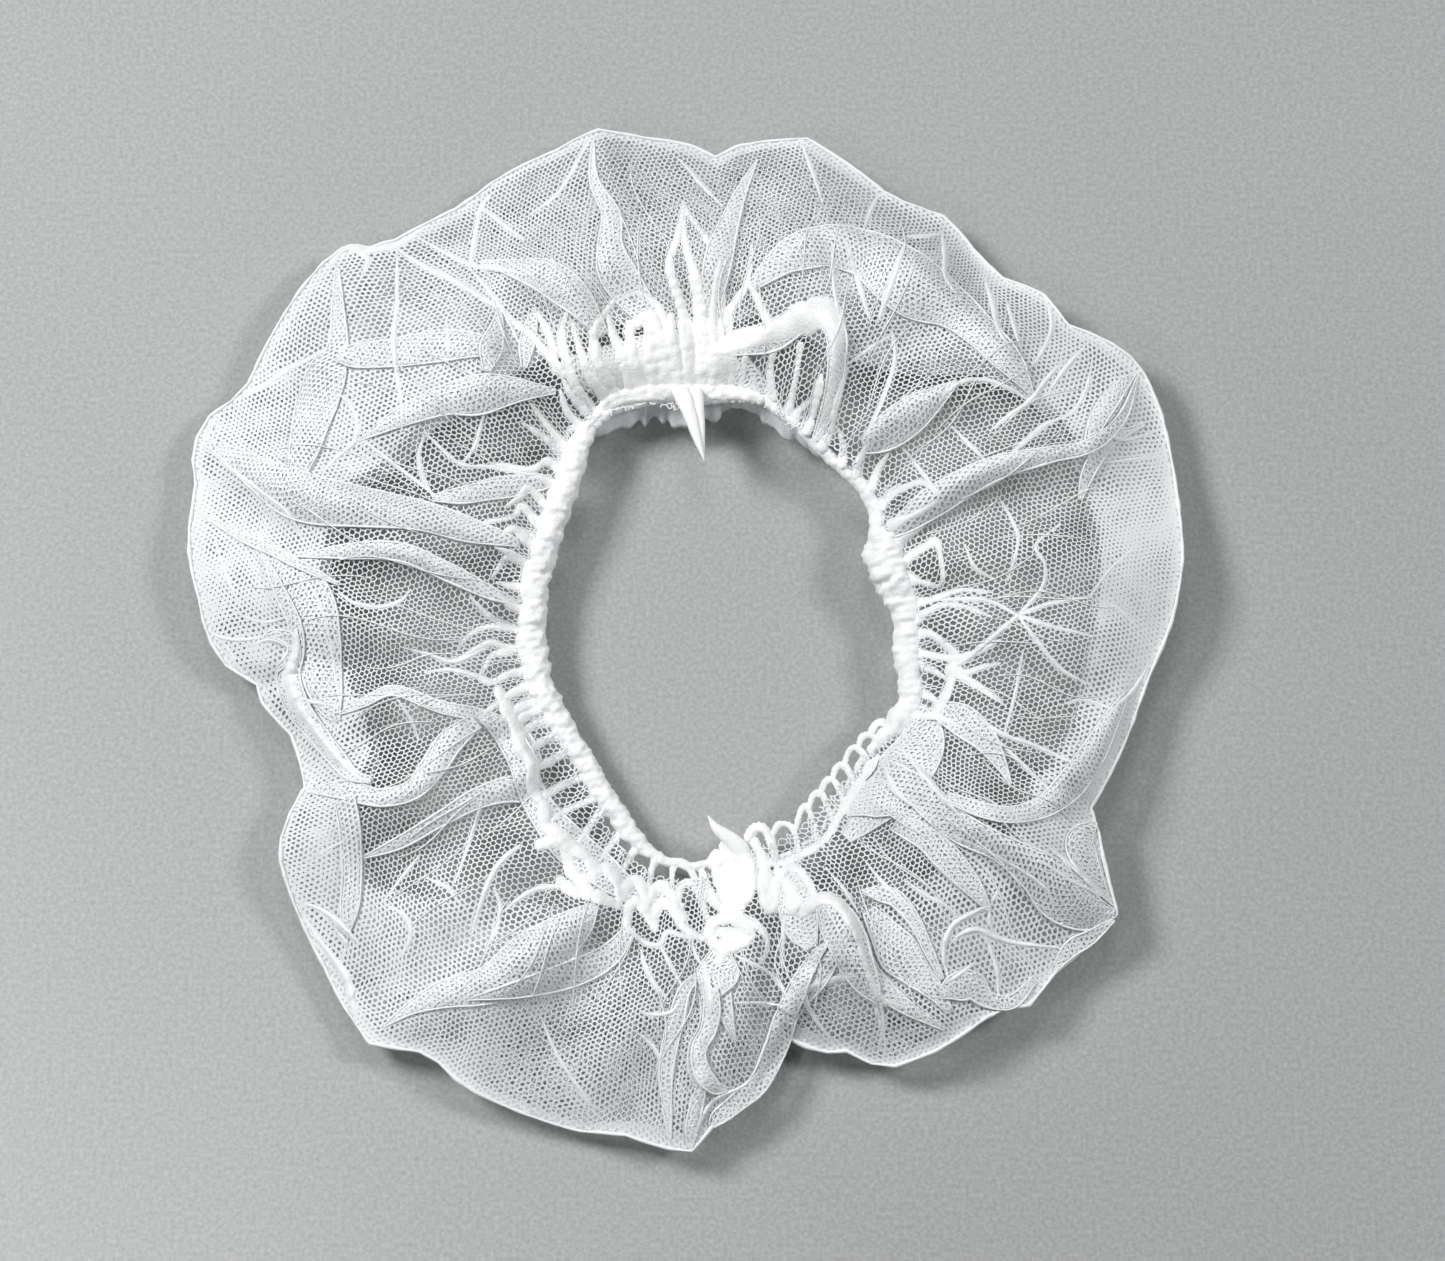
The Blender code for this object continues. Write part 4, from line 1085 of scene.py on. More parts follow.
# %% Table of creases
CREASES = [
    [(340, 394, 4), (352, 408, 5), (357, 426, 6), (355, 441, 7), (340, 455, 6), (322, 471, 4)],
    [(362, 440, 5), (395, 465, 5), (435, 495, 3)],
    [(425, 432, 3), (445, 452, 4), (463, 465, 5), (490, 467, 5), (515, 472, 5), (552, 478, 4)],
    [(461, 465, 4), (474, 448, 5), (480, 430, 5), (486, 405, 3)],
    [(424, 436, 4), (419, 456, 6), (423, 478, 7), (433, 496, 4)],
    [(397, 254, 5), (397, 300, 5), (394, 336, 9), (396, 366, 7), (401, 402, 4), (402, 430, 2)],
    [(398, 250, 4), (424, 266, 6), (455, 281, 7), (480, 296, 8), (500, 309, 8)],
    [(470, 264, 9), (475, 236, 6), (481, 207, 6), (495, 190, 3)],
    [(482, 208, 4), (505, 226, 5), (524, 240, 3)],
    [(446, 320, 5), (449, 345, 6), (447, 362, 3)],
    [(326, 268, 3), (346, 249, 9), (374, 250, 11), (400, 244, 9), (428, 224, 4)],
    [(347, 248, 4), (368, 258, 8), (362, 274, 4)],
    [(418, 238, 3), (470, 264, 6), (520, 272, 5)],
    [(468, 266, 3), (500, 305, 5), (520, 345, 3)],
    [(340, 594, 3), (355, 603, 5), (380, 607, 6), (400, 601, 5), (410, 590, 2)],
    [(405, 648, 3), (430, 655, 5), (455, 662, 6), (490, 646, 7)],
    [(425, 672, 3), (450, 670, 6), (478, 677, 7), (495, 682, 8)],
    [(398, 700, 4), (412, 722, 4), (418, 740, 3)],
    [(300, 901, 4), (324, 912, 7), (341, 926, 9), (358, 943, 6)],
    [(385, 904, 3), (402, 914, 5), (410, 930, 7), (408, 945, 6), (397, 958, 3)],
    [(425, 877, 3), (441, 884, 5), (451, 891, 5), (459, 902, 2)],
    [(520, 845, 9), (504, 859, 8), (494, 872, 8), (485, 892, 7), (476, 920, 5), (469, 944, 2)],
    [(494, 888, 4), (500, 905, 6), (497, 926, 5), (484, 952, 3)],
    [(500, 914, 3), (519, 899, 6), (541, 888, 8), (568, 886, 7)],
    [(298, 906, 3), (316, 936, 7), (331, 956, 9), (346, 978, 13), (352, 1000, 12), (357, 1022, 7)],
    [(336, 930, 4), (346, 944, 6), (341, 960, 5)],
    [(305, 862, 2), (345, 840, 5)],
    [(482, 800, 7), (475, 825, 5), (455, 882, 2)],
    [(420, 855, 5), (400, 880, 4), (383, 902, 2)],
    [(540, 1015, 3), (560, 1060, 4), (592, 1106, 3)],
    [(892, 330, 5), (895, 360, 6), (882, 400, 5), (866, 436, 5)],
    [(845, 366, 3), (868, 350, 5), (892, 334, 4)],
    [(1018, 615, 7), (1050, 604, 5), (1092, 596, 3)],
    [(1018, 615, 7), (1050, 626, 6), (1092, 636, 3)],
    [(1018, 615, 5), (1040, 645, 5), (1062, 670, 5), (1092, 686, 3)],
    [(1018, 615, 8), (990, 640, 8), (965, 660, 9), (945, 672, 9)],
    [(1018, 615, 5), (1042, 588, 5), (1045, 565, 4), (1036, 545, 3), (1060, 524, 2)],
    [(1018, 615, 5), (985, 600, 5), (940, 600, 7)],
    [(1023, 650, 5), (1016, 690, 4), (1004, 736, 3)],
    [(960, 680, 5), (985, 692, 5), (1006, 706, 3)],
    [(945, 420, 2), (965, 440, 4), (986, 461, 5)],
    [(905, 450, 4), (920, 470, 5), (940, 496, 5)],
    [(885, 507, 8), (895, 493, 7), (910, 485, 7), (924, 483, 7), (938, 496, 5)],
    [(1000, 500, 3), (1012, 520, 4), (1018, 542, 4), (1008, 580, 3)],
    [(1090, 596, 3), (1110, 570, 4), (1142, 540, 2)],
    [(990, 431, 3), (1006, 418, 6), (1030, 401, 7), (1048, 378, 7), (1064, 360, 4)],
    [(1005, 461, 3), (1022, 444, 6), (1045, 425, 7), (1062, 418, 3)],
    [(942, 396, 6), (962, 382, 6), (985, 380, 6), (1008, 388, 5), (1030, 401, 5)],
    [(1104, 463, 4), (1130, 460, 5), (1158, 455, 2)],
    [(965, 545, 3), (975, 568, 5), (996, 580, 3)],
    [(1114, 708, 4), (1134, 690, 7), (1150, 662, 5)],
    [(1000, 742, 3), (1025, 767, 5), (1050, 790, 3)],
    [(985, 722, 5), (1004, 735, 6), (1035, 746, 6), (1076, 764, 3)],
    [(846, 240, 5), (856, 275, 6), (870, 320, 5)],
    [(832, 242, 4), (834, 285, 5), (842, 330, 3)],
    [(906, 240, 5), (896, 270, 8), (884, 305, 9), (878, 322, 5)],
    [(904, 236, 5), (925, 236, 7), (941, 233, 7)],
    [(942, 234, 7), (945, 254, 8), (946, 276, 7), (960, 300, 3)],
    [(984, 276, 5), (992, 300, 9), (999, 328, 8), (1010, 348, 3)],
    [(1006, 300, 4), (1014, 325, 6), (1022, 352, 4)],
    [(1046, 296, 4), (1052, 326, 7), (1042, 352, 6), (1030, 368, 3)],
    [(1046, 396, 3), (1060, 376, 7), (1076, 356, 6), (1086, 345, 3)],
    [(1092, 362, 3), (1086, 390, 5), (1072, 412, 4), (1050, 422, 4)],
    [(680, 160, 2), (700, 182, 5), (722, 206, 3)],
    [(800, 140, 3), (812, 170, 5), (822, 202, 3)],
    [(862, 232, 4), (880, 195, 4), (905, 205, 2)],
    [(590, 138, 3), (560, 190, 4), (530, 215, 2)],
    [(990, 906, 7), (972, 914, 8), (955, 924, 8), (946, 940, 8), (944, 958, 6), (948, 978, 3)],
    [(952, 942, 5), (962, 934, 8), (978, 930, 9), (996, 938, 9), (1020, 944, 8), (1060, 948, 4)],
    [(985, 934, 4), (993, 955, 6), (998, 975, 6), (998, 995, 4)],
    [(990, 906, 6), (996, 895, 5), (1002, 880, 3)],
    [(990, 906, 6), (990, 922, 5), (996, 938, 3)],
    [(905, 880, 3), (925, 895, 5), (945, 905, 5), (960, 918, 4)],
    [(1048, 846, 4), (1075, 868, 6), (1100, 892, 6), (1114, 906, 4)],
    [(955, 836, 4), (1000, 858, 4), (1040, 884, 5), (1056, 905, 3)],
    [(885, 765, 5), (892, 785, 7), (905, 800, 5), (925, 812, 4)],
    [(900, 748, 4), (925, 775, 7), (945, 800, 6), (962, 818, 4)],
    [(940, 986, 3), (958, 976, 6), (975, 962, 4)],
    [(735, 955, 5), (755, 965, 5), (775, 978, 4), (790, 1002, 3)],
    [(735, 1003, 4), (760, 1003, 4), (787, 1006, 3)],
    [(785, 915, 4), (783, 940, 4), (782, 965, 2)],
    [(826, 868, 3), (845, 890, 4), (858, 912, 3)],
    [(866, 862, 3), (884, 884, 4), (905, 905, 3)],
    [(743, 914, 5), (757, 922, 5), (767, 936, 5), (766, 950, 4), (760, 964, 2)],
    [(641, 950, 5), (645, 966, 7), (655, 985, 7), (668, 1000, 4)],
    [(660, 945, 5), (672, 968, 5), (684, 990, 3)],
    [(627, 928, 6), (645, 943, 8), (660, 944, 7), (668, 932, 7), (690, 938, 7), (702, 934, 5)],
    [(691, 940, 5), (697, 957, 5), (704, 968, 3)],
    [(640, 1012, 3), (655, 1015, 6), (672, 1012, 7), (681, 998, 6)],
    [(642, 1035, 4), (655, 1050, 5), (665, 1070, 4)],
    [(296, 630, 8), (296, 655, 13), (289, 680, 19), (300, 709, 16), (318, 734, 14), (338, 759, 12),
     (360, 778, 8)],
    [(212, 452, 3), (232, 470, 5), (258, 490, 6), (286, 512, 5), (304, 540, 3)],
    [(205, 628, 3), (222, 638, 6), (244, 640, 6), (262, 636, 4)],
    [(222, 640, 3), (232, 655, 5), (236, 672, 3)],
    [(302, 574, 3), (318, 600, 3), (330, 640, 4), (336, 680, 4), (340, 704, 3)],
    [(296, 696, 5), (312, 702, 4), (338, 706, 2)],
    [(215, 540, 2), (228, 580, 4), (240, 605, 2)],
    [(230, 610, 2), (262, 622, 4), (290, 616, 3)],
    [(245, 650, 2), (268, 640, 5), (294, 648, 6)],
    [(238, 397, 3), (264, 386, 7), (286, 371, 7), (306, 360, 5), (326, 350, 3)],
    [(1060, 705, 2), (1085, 700, 4), (1120, 712, 2)],
    [(1098, 600, 2), (1120, 610, 4), (1150, 640, 2)],
    [(1100, 430, 3), (1125, 440, 5), (1160, 430, 2)],
    [(1040, 860, 3), (1070, 880, 4), (1110, 900, 3)],
    [(885, 1050, 3), (882, 1010, 4), (870, 985, 5)],
    [(835, 1045, 2), (810, 1010, 4), (805, 985, 5)],
    [(690, 1150, 3), (710, 1105, 5), (745, 1085, 4), (770, 1060, 3)],
]
print("creases:", len(CREASES), "lines")

# %% [markdown]
# ## Skins of bunched net
# A crease, a cord and a knot have no edge of their own: they rise out of the net and sink back into it, and
# where two meet they join. So each kind is one skin over what lies below it. Its height at a place comes from
# all the strokes there, joined so that the highest one counts most. Every point is put where its line of
# sight from the photo meets that height, which keeps the skin on the pixels that it was read from.

# %% Skins from strokes
MERGING = 3
STROKE_DETAIL = 1.2
STROKE_UNEVEN = 0.06
STROKE_WAVE = 12
LEAST_REACH = 0.6
SKIN_UNEVEN = 0.08
SKIN_WAVE = 3.5 * MM
SKIN_STEPS = 3


def stroke_part(pixels, low, step, route, reach, soft):
    """One stroke's height on the grid of pixels, as the window that it covers and the heights in it."""
    first = np.maximum(((route[:, :2] - low - reach[:, None]) / step).astype(int), 0)
    last = ((route[:, :2] - low + reach[:, None]) / step).astype(int) + 2
    corner = first.min(axis=0)
    part = np.zeros(last.max(axis=0) - corner)
    for place, radius, start, end in zip(route[:, :2], reach, first, last):
        away = ((pixels[start[0] : end[0], start[1] : end[1]] - place) ** 2).sum(axis=-1)
        inside = np.maximum(radius**2 - away, 0)
        near = tuple(slice(*ends) for ends in zip(start - corner, end - corner))
        part[near] = np.maximum(part[near], inside / radius if soft else np.sqrt(inside))
    return tuple(slice(*ends) for ends in zip(corner, corner + part.shape)), part


def mound(strokes, step, sink, seed, soft=False, taper=(0, 0)):
    """Bunched net as one skin. Each stroke is a row of places and widths, with the share of roundness that it
    keeps. Soft strokes thin out towards their borders, and each stroke narrows towards its two ends over the
    lengths in taper, in pixels."""
    routes = [(curve(rows, STROKE_DETAIL), roundness) for rows, roundness in strokes]
    spread = np.concatenate([route for route, _ in routes])
    low = (spread[:, :2] - spread[:, 2:]).min(axis=0)
    high = (spread[:, :2] + spread[:, 2:]).max(axis=0)
    shape = tuple(((high - low) / step).astype(int) + 3)
    pixels = low + np.stack(np.indices(shape), axis=-1) * step
    joined = np.zeros(shape)
    for number, (route, roundness) in enumerate(routes):
        along = np.concatenate([[0], np.cumsum(np.linalg.norm(np.diff(route[:, :2], axis=0), axis=1))])
        thin = np.minimum((along + 1) / (taper[0] + 1), (along[-1] - along + 1) / (taper[1] + 1))
        half = 0.5 + STROKE_UNEVEN * waves(route[:, :2], STROKE_WAVE, seed + number)
        reach = np.maximum(route[:, 2] * half * np.sqrt(np.minimum(thin, 1)), LEAST_REACH)
        window, part = stroke_part(pixels, low, step, route, reach, soft)
        joined[window] += (roundness * part) ** MERGING
    height = (joined ** (1 / MERGING) * PIXEL).ravel()
    pixels = pixels.reshape(-1, 2)
    index = np.arange(height.size).reshape(shape)
    quads = np.stack([index[:-1, :-1], index[1:, :-1], index[1:, 1:], index[:-1, 1:]], axis=-1).reshape(-1, 4)
    quads = quads[(height[quads] > 0).any(axis=1)]
    used = np.unique(quads)
    places = on_net(pixels[used])
    raised = height[used] * (1 + SKIN_UNEVEN * waves(places, SKIN_WAVE, seed)) - sink
    for _ in range(SKIN_STEPS):
        top = top_of_net(places) + raised
        places = at_height(pixels[used], top)
    points = np.zeros((height.size, 3))
    points[used] = np.column_stack([places, top])
    return points, pixels * PIXEL, np.zeros((0, 3), int), quads


def skin_of(table, widening, roundness, step, sink, seed, soft, taper):
    """The skin of a table of lines that share one roundness, widened by a share."""
    strokes = [([(x, y, widening * wide) for x, y, wide in rows], roundness) for rows in table]
    return [mound(strokes, step, sink, seed, soft, taper)]


# %% [markdown]
# ## Edges and faint creases
# The rim is a thin roll of thread all round, and so is the cut edge of the layer that is turned under. Each
# pleat has such a roll along its two edges. Between the creases of the table lie fainter ones, which fan out
# from the band. Those are drawn at random from a seed, because the photo's are too fine to tell apart.

# %% Edges and creases
FAINT_CREASES = 90
FAINT_POINTS = 30
FAINT_RADIUS = 0.24 * MM
FAINT_RISE = 0.15 * MM
RIM_RADIUS = 0.48 * MM
RIM_INSET = 0.3 * MM
CUT_RADIUS = 0.25 * MM


def faint_crease(number):
    """A thin line that runs out from near the band, swaying a little."""
    shake = np.random.default_rng(100 + number)
    angle = (number + shake.uniform(-0.5, 0.5)) * 360 / FAINT_CREASES
    start, length = shake.uniform(0.1, 0.45), shake.uniform(0.25, 0.5)
    shares = np.linspace(start, min(start + length, 0.97), FAINT_POINTS)
    lean = shake.uniform(-9, 9) * (shares - start)
    sway = 1.2 * np.sin(shares * shake.uniform(6, 14) + shake.uniform(0, 6))
    angles = angle + (lean + sway)
    places = from_polar(start_at(angles) * (1 - shares) + rim_at(angles) * shares, angles)
    route = np.column_stack([places, top_of_net(places) + FAINT_RISE])
    thin = np.sin(np.linspace(0.2, np.pi - 0.2, FAINT_POINTS)) ** 0.5
    return tube(route, FAINT_RADIUS * thin, 0.6, 4)


ring_angles = np.arange(0, 360, 0.5)
rim_places = from_polar(rim_at(ring_angles) - RIM_INSET, ring_angles)
rim_route = np.column_stack([rim_places, net_height(rim_places)])
cut_places = from_polar(ring(UNDER_REACH, ring_angles), ring_angles)
cut_route = np.column_stack([cut_places, under_height(cut_places)])
grids = [tube(rim_route, RIM_RADIUS * (1 + 0.3 * waves(rim_route, 7 * MM, 31)), 1, 8, closed=True)]
grids.append(tube(cut_route, CUT_RADIUS, 1, 6, closed=True))
grids += [grid for name, pleat in pleats.items() if name != "top_mass" for grid in pleat.edges()]
grids += [faint_crease(number) for number in range(FAINT_CREASES)]
edge_lines = dressed(tubes_object("edges", grids, finishes["gathered_net"]), "net_ruffle")
creases = skin_of(
    CREASES, widening=0.72, roundness=0.75, step=0.85, sink=0.12 * MM, seed=21, soft=True, taper=(22, 22)
)
crease_lines = dressed(strips_object("creases", creases, finishes["crease_net"], True), "net_ruffle")
print("edges:", len(edge_lines.data.polygons), "faces, creases:", len(crease_lines.data.polygons), "faces")

# %% [markdown]
# ## The band and its gathers
# The elastic is hidden in a rope of bunched net. The rope is a tube with fine ridges across it and small
# lumps, wider where the photo shows a thick bunch.

# %% Rope
ROPE = [
    (597, 420, 14), (612, 410, 14), (632, 403, 14), (652, 399, 14), (676, 397, 16), (700, 398, 16),
    (725, 397, 14), (748, 395, 13), (765, 400, 13), (780, 411, 13), (797, 425, 12), (815, 443, 13),
    (833, 460, 13), (852, 476, 14), (866, 493, 14), (875, 510, 16), (881, 527, 24), (884, 546, 38),
    (888, 566, 44), (896, 586, 40), (904, 603, 32), (907, 622, 28), (907, 642, 28), (907, 661, 26),
    (910, 680, 24), (911, 700, 26), (899, 722, 26), (880, 743, 18), (862, 765, 12), (850, 785, 9),
    (838, 808, 8), (822, 832, 8), (800, 850, 8), (775, 860, 8), (745, 862, 10), (717, 857, 9),
    (707, 864, 9), (692, 867, 9), (680, 863, 9), (670, 863, 9), (655, 856, 12), (632, 835, 18),
    (615, 812, 21), (600, 790, 22), (588, 768, 22), (573, 745, 22), (560, 722, 24), (548, 700, 26),
    (539, 680, 27), (533, 655, 29), (531, 630, 30), (532, 600, 30), (536, 575, 30), (544, 550, 30),
    (552, 525, 28), (561, 500, 28), (569, 475, 26), (577, 452, 24), (586, 432, 18)
]
ROPE_STEP = 0.42 * MM
ROPE_SIDES = 30
ROPE_SINK = 0.5 * MM
ROPE_HEIGHT = 0.9
RIDGE = 1.3 * MM
RIDGE_DEPTH = 0.07 * MM
RIDGE_SLANT = 1.2 * MM
LARGE_LUMPS = (0.09, 5 * MM, 41)
SMALL_LUMPS = (0.06, 2.2 * MM, 42)


def closed_curve(rows, step):
    """A smooth closed curve. It starts and ends at the same place, and that place is given once."""
    rows = np.array(rows, float)
    around = np.concatenate([rows[-3:], rows, rows[:3]])
    found = curve(around, step)
    first = np.abs(found[:, :2] - rows[0, :2]).sum(axis=1)[: len(found) // 2].argmin()
    last = len(found) // 2 + np.abs(found[:, :2] - rows[0, :2]).sum(axis=1)[len(found) // 2 :].argmin()
    return found[first:last]


def on_band(pixels):
    """Where the lines of sight through pixels meet the height of the band's middle, and that height."""
    height = np.full(len(pixels), FIRST_GUESS)
    for _ in range(SIGHT_STEPS):
        places = at_height(pixels, height)
        height = band_height(to_polar(places)[1])
    return places, height


rope_rows = closed_curve(ROPE, ROPE_STEP / PIXEL)
rope_places, rope_height = on_band(rope_rows[:, :2])
rope_route = np.column_stack([rope_places, rope_height + ROPE_SINK])
rope_radius = rope_rows[:, 2] * PIXEL / 2
rope_grid, _ = tube(rope_route, rope_radius, ROPE_HEIGHT, ROPE_SIDES, closed=True)
rope_along = np.cumsum(np.linalg.norm(rope_route - np.roll(rope_route, 1, axis=0), axis=1))
outward = unit(rope_grid - rope_route[:, None])
along_rope = np.broadcast_to(rope_along[:, None], rope_grid.shape[:2])
strand = np.stack([along_rope, outward[..., 2] * RIDGE_SLANT], axis=-1)
lumps = sum(share * waves(rope_grid, length, seed) for share, length, seed in (LARGE_LUMPS, SMALL_LUMPS))
ridges = RIDGE_DEPTH * np.abs(waves(strand, 2 * RIDGE, 43))
rope_grid = rope_grid + outward * (lumps * rope_radius[:, None] + ridges)[..., None]
rope = dressed(tubes_object("rope", [(rope_grid, True)], finishes["gathered_net"]), "elastic_band")
print("rope:", len(rope.data.polygons), "faces")

# %% [markdown]
# ## Frill
# Inside the top of the eye a short scalloped edge of net hangs from the rope, in its shadow. It is a thin
# pleated band with two faces. Each row is a place along the rope and the heights in the photo of the band's
# upper and lower edge there.

# %% Frill inside the top of the rope
FRILL = [
    (592, 430, 438), (598, 421, 438), (605, 414, 436), (613, 408, 432), (620, 404, 428), (628, 401, 430),
    (634, 400, 424), (640, 398, 422), (645, 397, 427), (650, 396, 420), (657, 396, 418), (663, 396, 424),
    (668, 396, 421), (673, 397, 428), (685, 397, 428), (697, 398, 424), (705, 398, 420), (715, 397, 423),
    (720, 396, 420), (724, 396, 411), (740, 396, 409), (757, 398, 414), (762, 400, 422), (770, 404, 427),
    (776, 409, 430), (783, 415, 440), (797, 426, 442), (810, 440, 452), (826, 456, 462), (840, 467, 472)
]
FRILL_DROP = 5.5 * MM
FRILL_ROWS = 9
FRILL_START = 0.5 * MM
FRILL_THICK = 0.8 * MM
SCALLOP = 13
SCALLOP_DEPTH = 0.25 * MM
FRILL_UNEVEN = 0.2 * MM
FRILL_WAVE = 3 * MM
FRILL_SEED = 51
frill_rows = curve(FRILL, 1.0)
frill_x, frill_top, frill_low = frill_rows.T
upper_places, upper_height = on_band(np.column_stack([frill_x, frill_top]))
lower_places = at_height(np.column_stack([frill_x, frill_low]), upper_height - FRILL_DROP)
frill_shares = np.linspace(0, 1, FRILL_ROWS)[:, None, None]
upper_line = np.column_stack([upper_places, upper_height + FRILL_START])
lower_line = np.column_stack([lower_places, upper_height - FRILL_DROP])
frill = upper_line * (1 - frill_shares) + lower_line * frill_shares
uneven = FRILL_UNEVEN * waves(frill[FRILL_ROWS // 2], FRILL_WAVE, FRILL_SEED)
pleated = SCALLOP_DEPTH * np.sin(2 * np.pi * frill_x / SCALLOP) + uneven
frill[..., 1] += pleated * frill_shares[..., 0] ** 0.7
inside = frill.copy()
inside[..., 1] += FRILL_THICK * np.sin(np.pi * np.linspace(0, 1, FRILL_ROWS))[:, None]
frill_grid = np.concatenate([frill, inside[::-1]]).transpose(1, 0, 2)
# The frill's finish is darkened with painted shade, for the shadow of the rope that it hangs in.
frill_made = tubes_object("frill", [(frill_grid, False)], finishes["frill_net_painted_shade"])
dressed(frill_made, "elastic_band")
print("frill:", len(frill_made.data.polygons), "faces")

# %% [markdown]
# ## Gathered cords
# Cords of gathered net leave the rope all round: some as single cords, some joined in pairs, and at the lower
# left as rungs that reach a second line of gathering. They are rounder than creases and end less finely, and
# each starts inside the rope, so only its far end narrows.

# %% Table of gathered cords
CORDS = [
    [(545, 540, 12), (530, 534, 9), (512, 529, 8), (498, 538, 4)],
    [(542, 530, 12), (523, 507, 9), (512, 517, 6), (480, 523, 4)],
    [(550, 512, 12), (530, 489, 9), (520, 497, 8), (505, 508, 4)],
    [(562, 490, 12), (537, 477, 9), (528, 480, 7)],
    [(562, 470, 14), (547, 462, 10), (530, 470, 9), (505, 466, 7), (480, 467, 4)],
    [(566, 460, 12), (545, 438, 8), (522, 423, 5)],
    [(568, 450, 12), (547, 425, 7), (530, 403, 4)],
    [(583, 435, 9), (573, 428, 7), (566, 438, 6), (571, 452, 6)],
    [(586, 430, 10), (568, 413, 8), (560, 390, 6)],
    [(597, 422, 12), (573, 397, 9), (562, 378, 6)],
    [(538, 548, 12), (525, 540, 9), (513, 530, 6)],
    [(532, 567, 12), (508, 553, 8), (495, 547, 3)],
    [(530, 568, 10), (508, 558, 6), (500, 566, 6), (492, 577, 4)],
    [(528, 588, 12), (512, 586, 8), (497, 582, 4)],
    [(528, 610, 14), (513, 607, 9), (497, 593, 5)],
    [(526, 630, 14), (512, 628, 9), (490, 617, 7), (470, 597, 3)],
    [(512, 628, 10), (487, 627, 7), (467, 637, 5), (458, 650, 3)],
    [(526, 650, 14), (508, 648, 9), (490, 643, 8), (472, 652, 7), (455, 661, 6), (438, 657, 3)],
    [(510, 652, 10), (493, 655, 7), (485, 667, 6), (479, 676, 5)],
    [(527, 672, 14), (511, 674, 9), (492, 682, 8), (477, 677, 6), (450, 670, 3)],
    [(532, 684, 14), (507, 697, 10), (484, 713, 6)],
    [(537, 698, 14), (512, 712, 10), (500, 721, 8)],
    [(547, 706, 14), (523, 718, 11), (511, 734, 8)],
    [(552, 721, 14), (538, 723, 10), (517, 734, 8)],
    [(562, 735, 14), (546, 740, 9), (526, 752, 9)],
    [(574, 750, 14), (562, 755, 9), (536, 769, 10)],
    [(592, 774, 14), (578, 779, 9), (555, 789, 9), (535, 804, 9)],
    [(602, 796, 13), (588, 801, 8), (563, 812, 6), (546, 825, 6)],
    [(612, 806, 13), (597, 816, 8), (583, 836, 7), (573, 850, 8)],
    [(626, 827, 13), (616, 838, 8), (606, 852, 6), (598, 863, 6)],
    [(643, 845, 12), (632, 854, 7), (622, 873, 6)],
    [(658, 857, 12), (652, 868, 7), (648, 888, 6)],
    [(674, 862, 9), (672, 875, 5), (672, 892, 4)],
    [(676, 863, 7), (688, 868, 6), (696, 880, 6), (703, 893, 6), (714, 907, 5)],
    [(702, 866, 6), (703, 887, 4), (715, 908, 3)],
    [(772, 398, 12), (771, 380, 7), (772, 358, 5)],
    [(788, 413, 12), (793, 390, 6), (800, 360, 4)],
    [(795, 417, 12), (804, 406, 7), (813, 397, 4)],
    [(806, 430, 13), (812, 415, 9), (817, 395, 10), (821, 375, 12)],
    [(822, 447, 13), (831, 432, 8), (834, 415, 8), (838, 398, 7), (847, 367, 4)],
    [(842, 464, 12), (843, 446, 7), (838, 428, 6)],
    [(857, 477, 13), (860, 460, 9), (866, 447, 8)],
    [(872, 488, 13), (878, 470, 8), (888, 454, 6)],
    [(882, 505, 14), (889, 493, 9), (900, 484, 7)],
    [(893, 525, 16), (905, 519, 8), (920, 513, 8), (940, 500, 6)],
    [(897, 545, 16), (908, 536, 8), (922, 527, 8)],
    [(900, 565, 18), (915, 553, 10), (928, 545, 10), (936, 541, 8), (941, 560, 5), (943, 577, 5),
     (938, 587, 5)],
    [(905, 578, 16), (920, 582, 8), (940, 587, 6)],
    [(913, 603, 16), (930, 600, 8), (950, 593, 6), (965, 590, 5), (992, 592, 3)],
    [(915, 620, 14), (928, 612, 8), (942, 605, 6), (965, 607, 5), (992, 617, 3)],
    [(915, 635, 14), (930, 634, 9), (945, 645, 9), (960, 657, 10)],
    [(915, 652, 14), (930, 655, 8), (947, 658, 8), (963, 657, 8), (982, 650, 6), (1000, 640, 5)],
    [(916, 665, 14), (930, 669, 8), (945, 678, 8)],
    [(950, 668, 10), (967, 672, 7), (983, 667, 6), (1000, 663, 3)],
    [(950, 672, 12), (962, 677, 7), (978, 685, 6), (1002, 701, 3)],
    [(954, 665, 12), (950, 684, 10), (943, 700, 11), (933, 717, 10)],
    [(918, 690, 12), (930, 697, 9), (940, 704, 9)],
    [(908, 712, 12), (920, 716, 8), (935, 716, 8), (947, 720, 6), (962, 728, 5)],
    [(748, 838, 8), (752, 829, 6), (758, 827, 6), (768, 834, 6), (774, 846, 6), (777, 866, 6)],
    [(772, 836, 5), (779, 824, 6), (790, 826, 6), (796, 838, 6), (799, 862, 5)],
    [(796, 828, 5), (801, 810, 6), (808, 808, 6), (814, 828, 6), (820, 848, 6)],
    [(808, 810, 5), (813, 796, 6), (821, 793, 6), (829, 810, 6), (834, 826, 6)],
    [(820, 795, 5), (825, 782, 6), (833, 780, 6), (841, 793, 6), (844, 806, 6)],
    [(832, 780, 5), (836, 768, 6), (843, 765, 7), (852, 777, 7), (854, 788, 6)],
    [(844, 765, 5), (849, 751, 6), (857, 748, 7), (866, 758, 7), (868, 770, 6)],
    [(858, 748, 5), (862, 737, 6), (871, 735, 7), (880, 745, 7)],
    [(870, 735, 6), (876, 724, 7), (885, 723, 8), (895, 732, 8)],
    [(760, 862, 8), (784, 862, 8), (806, 852, 9), (824, 840, 9), (838, 818, 9), (850, 797, 9),
     (862, 778, 10), (878, 756, 12)],
]
cords = skin_of(
    CORDS, widening=0.85, roundness=0.5, step=0.9, sink=0.25 * MM, seed=35, soft=False, taper=(0, 14)
)
gathers = dressed(strips_object("gathers", cords, finishes["gathered_net"], True), "elastic_band")
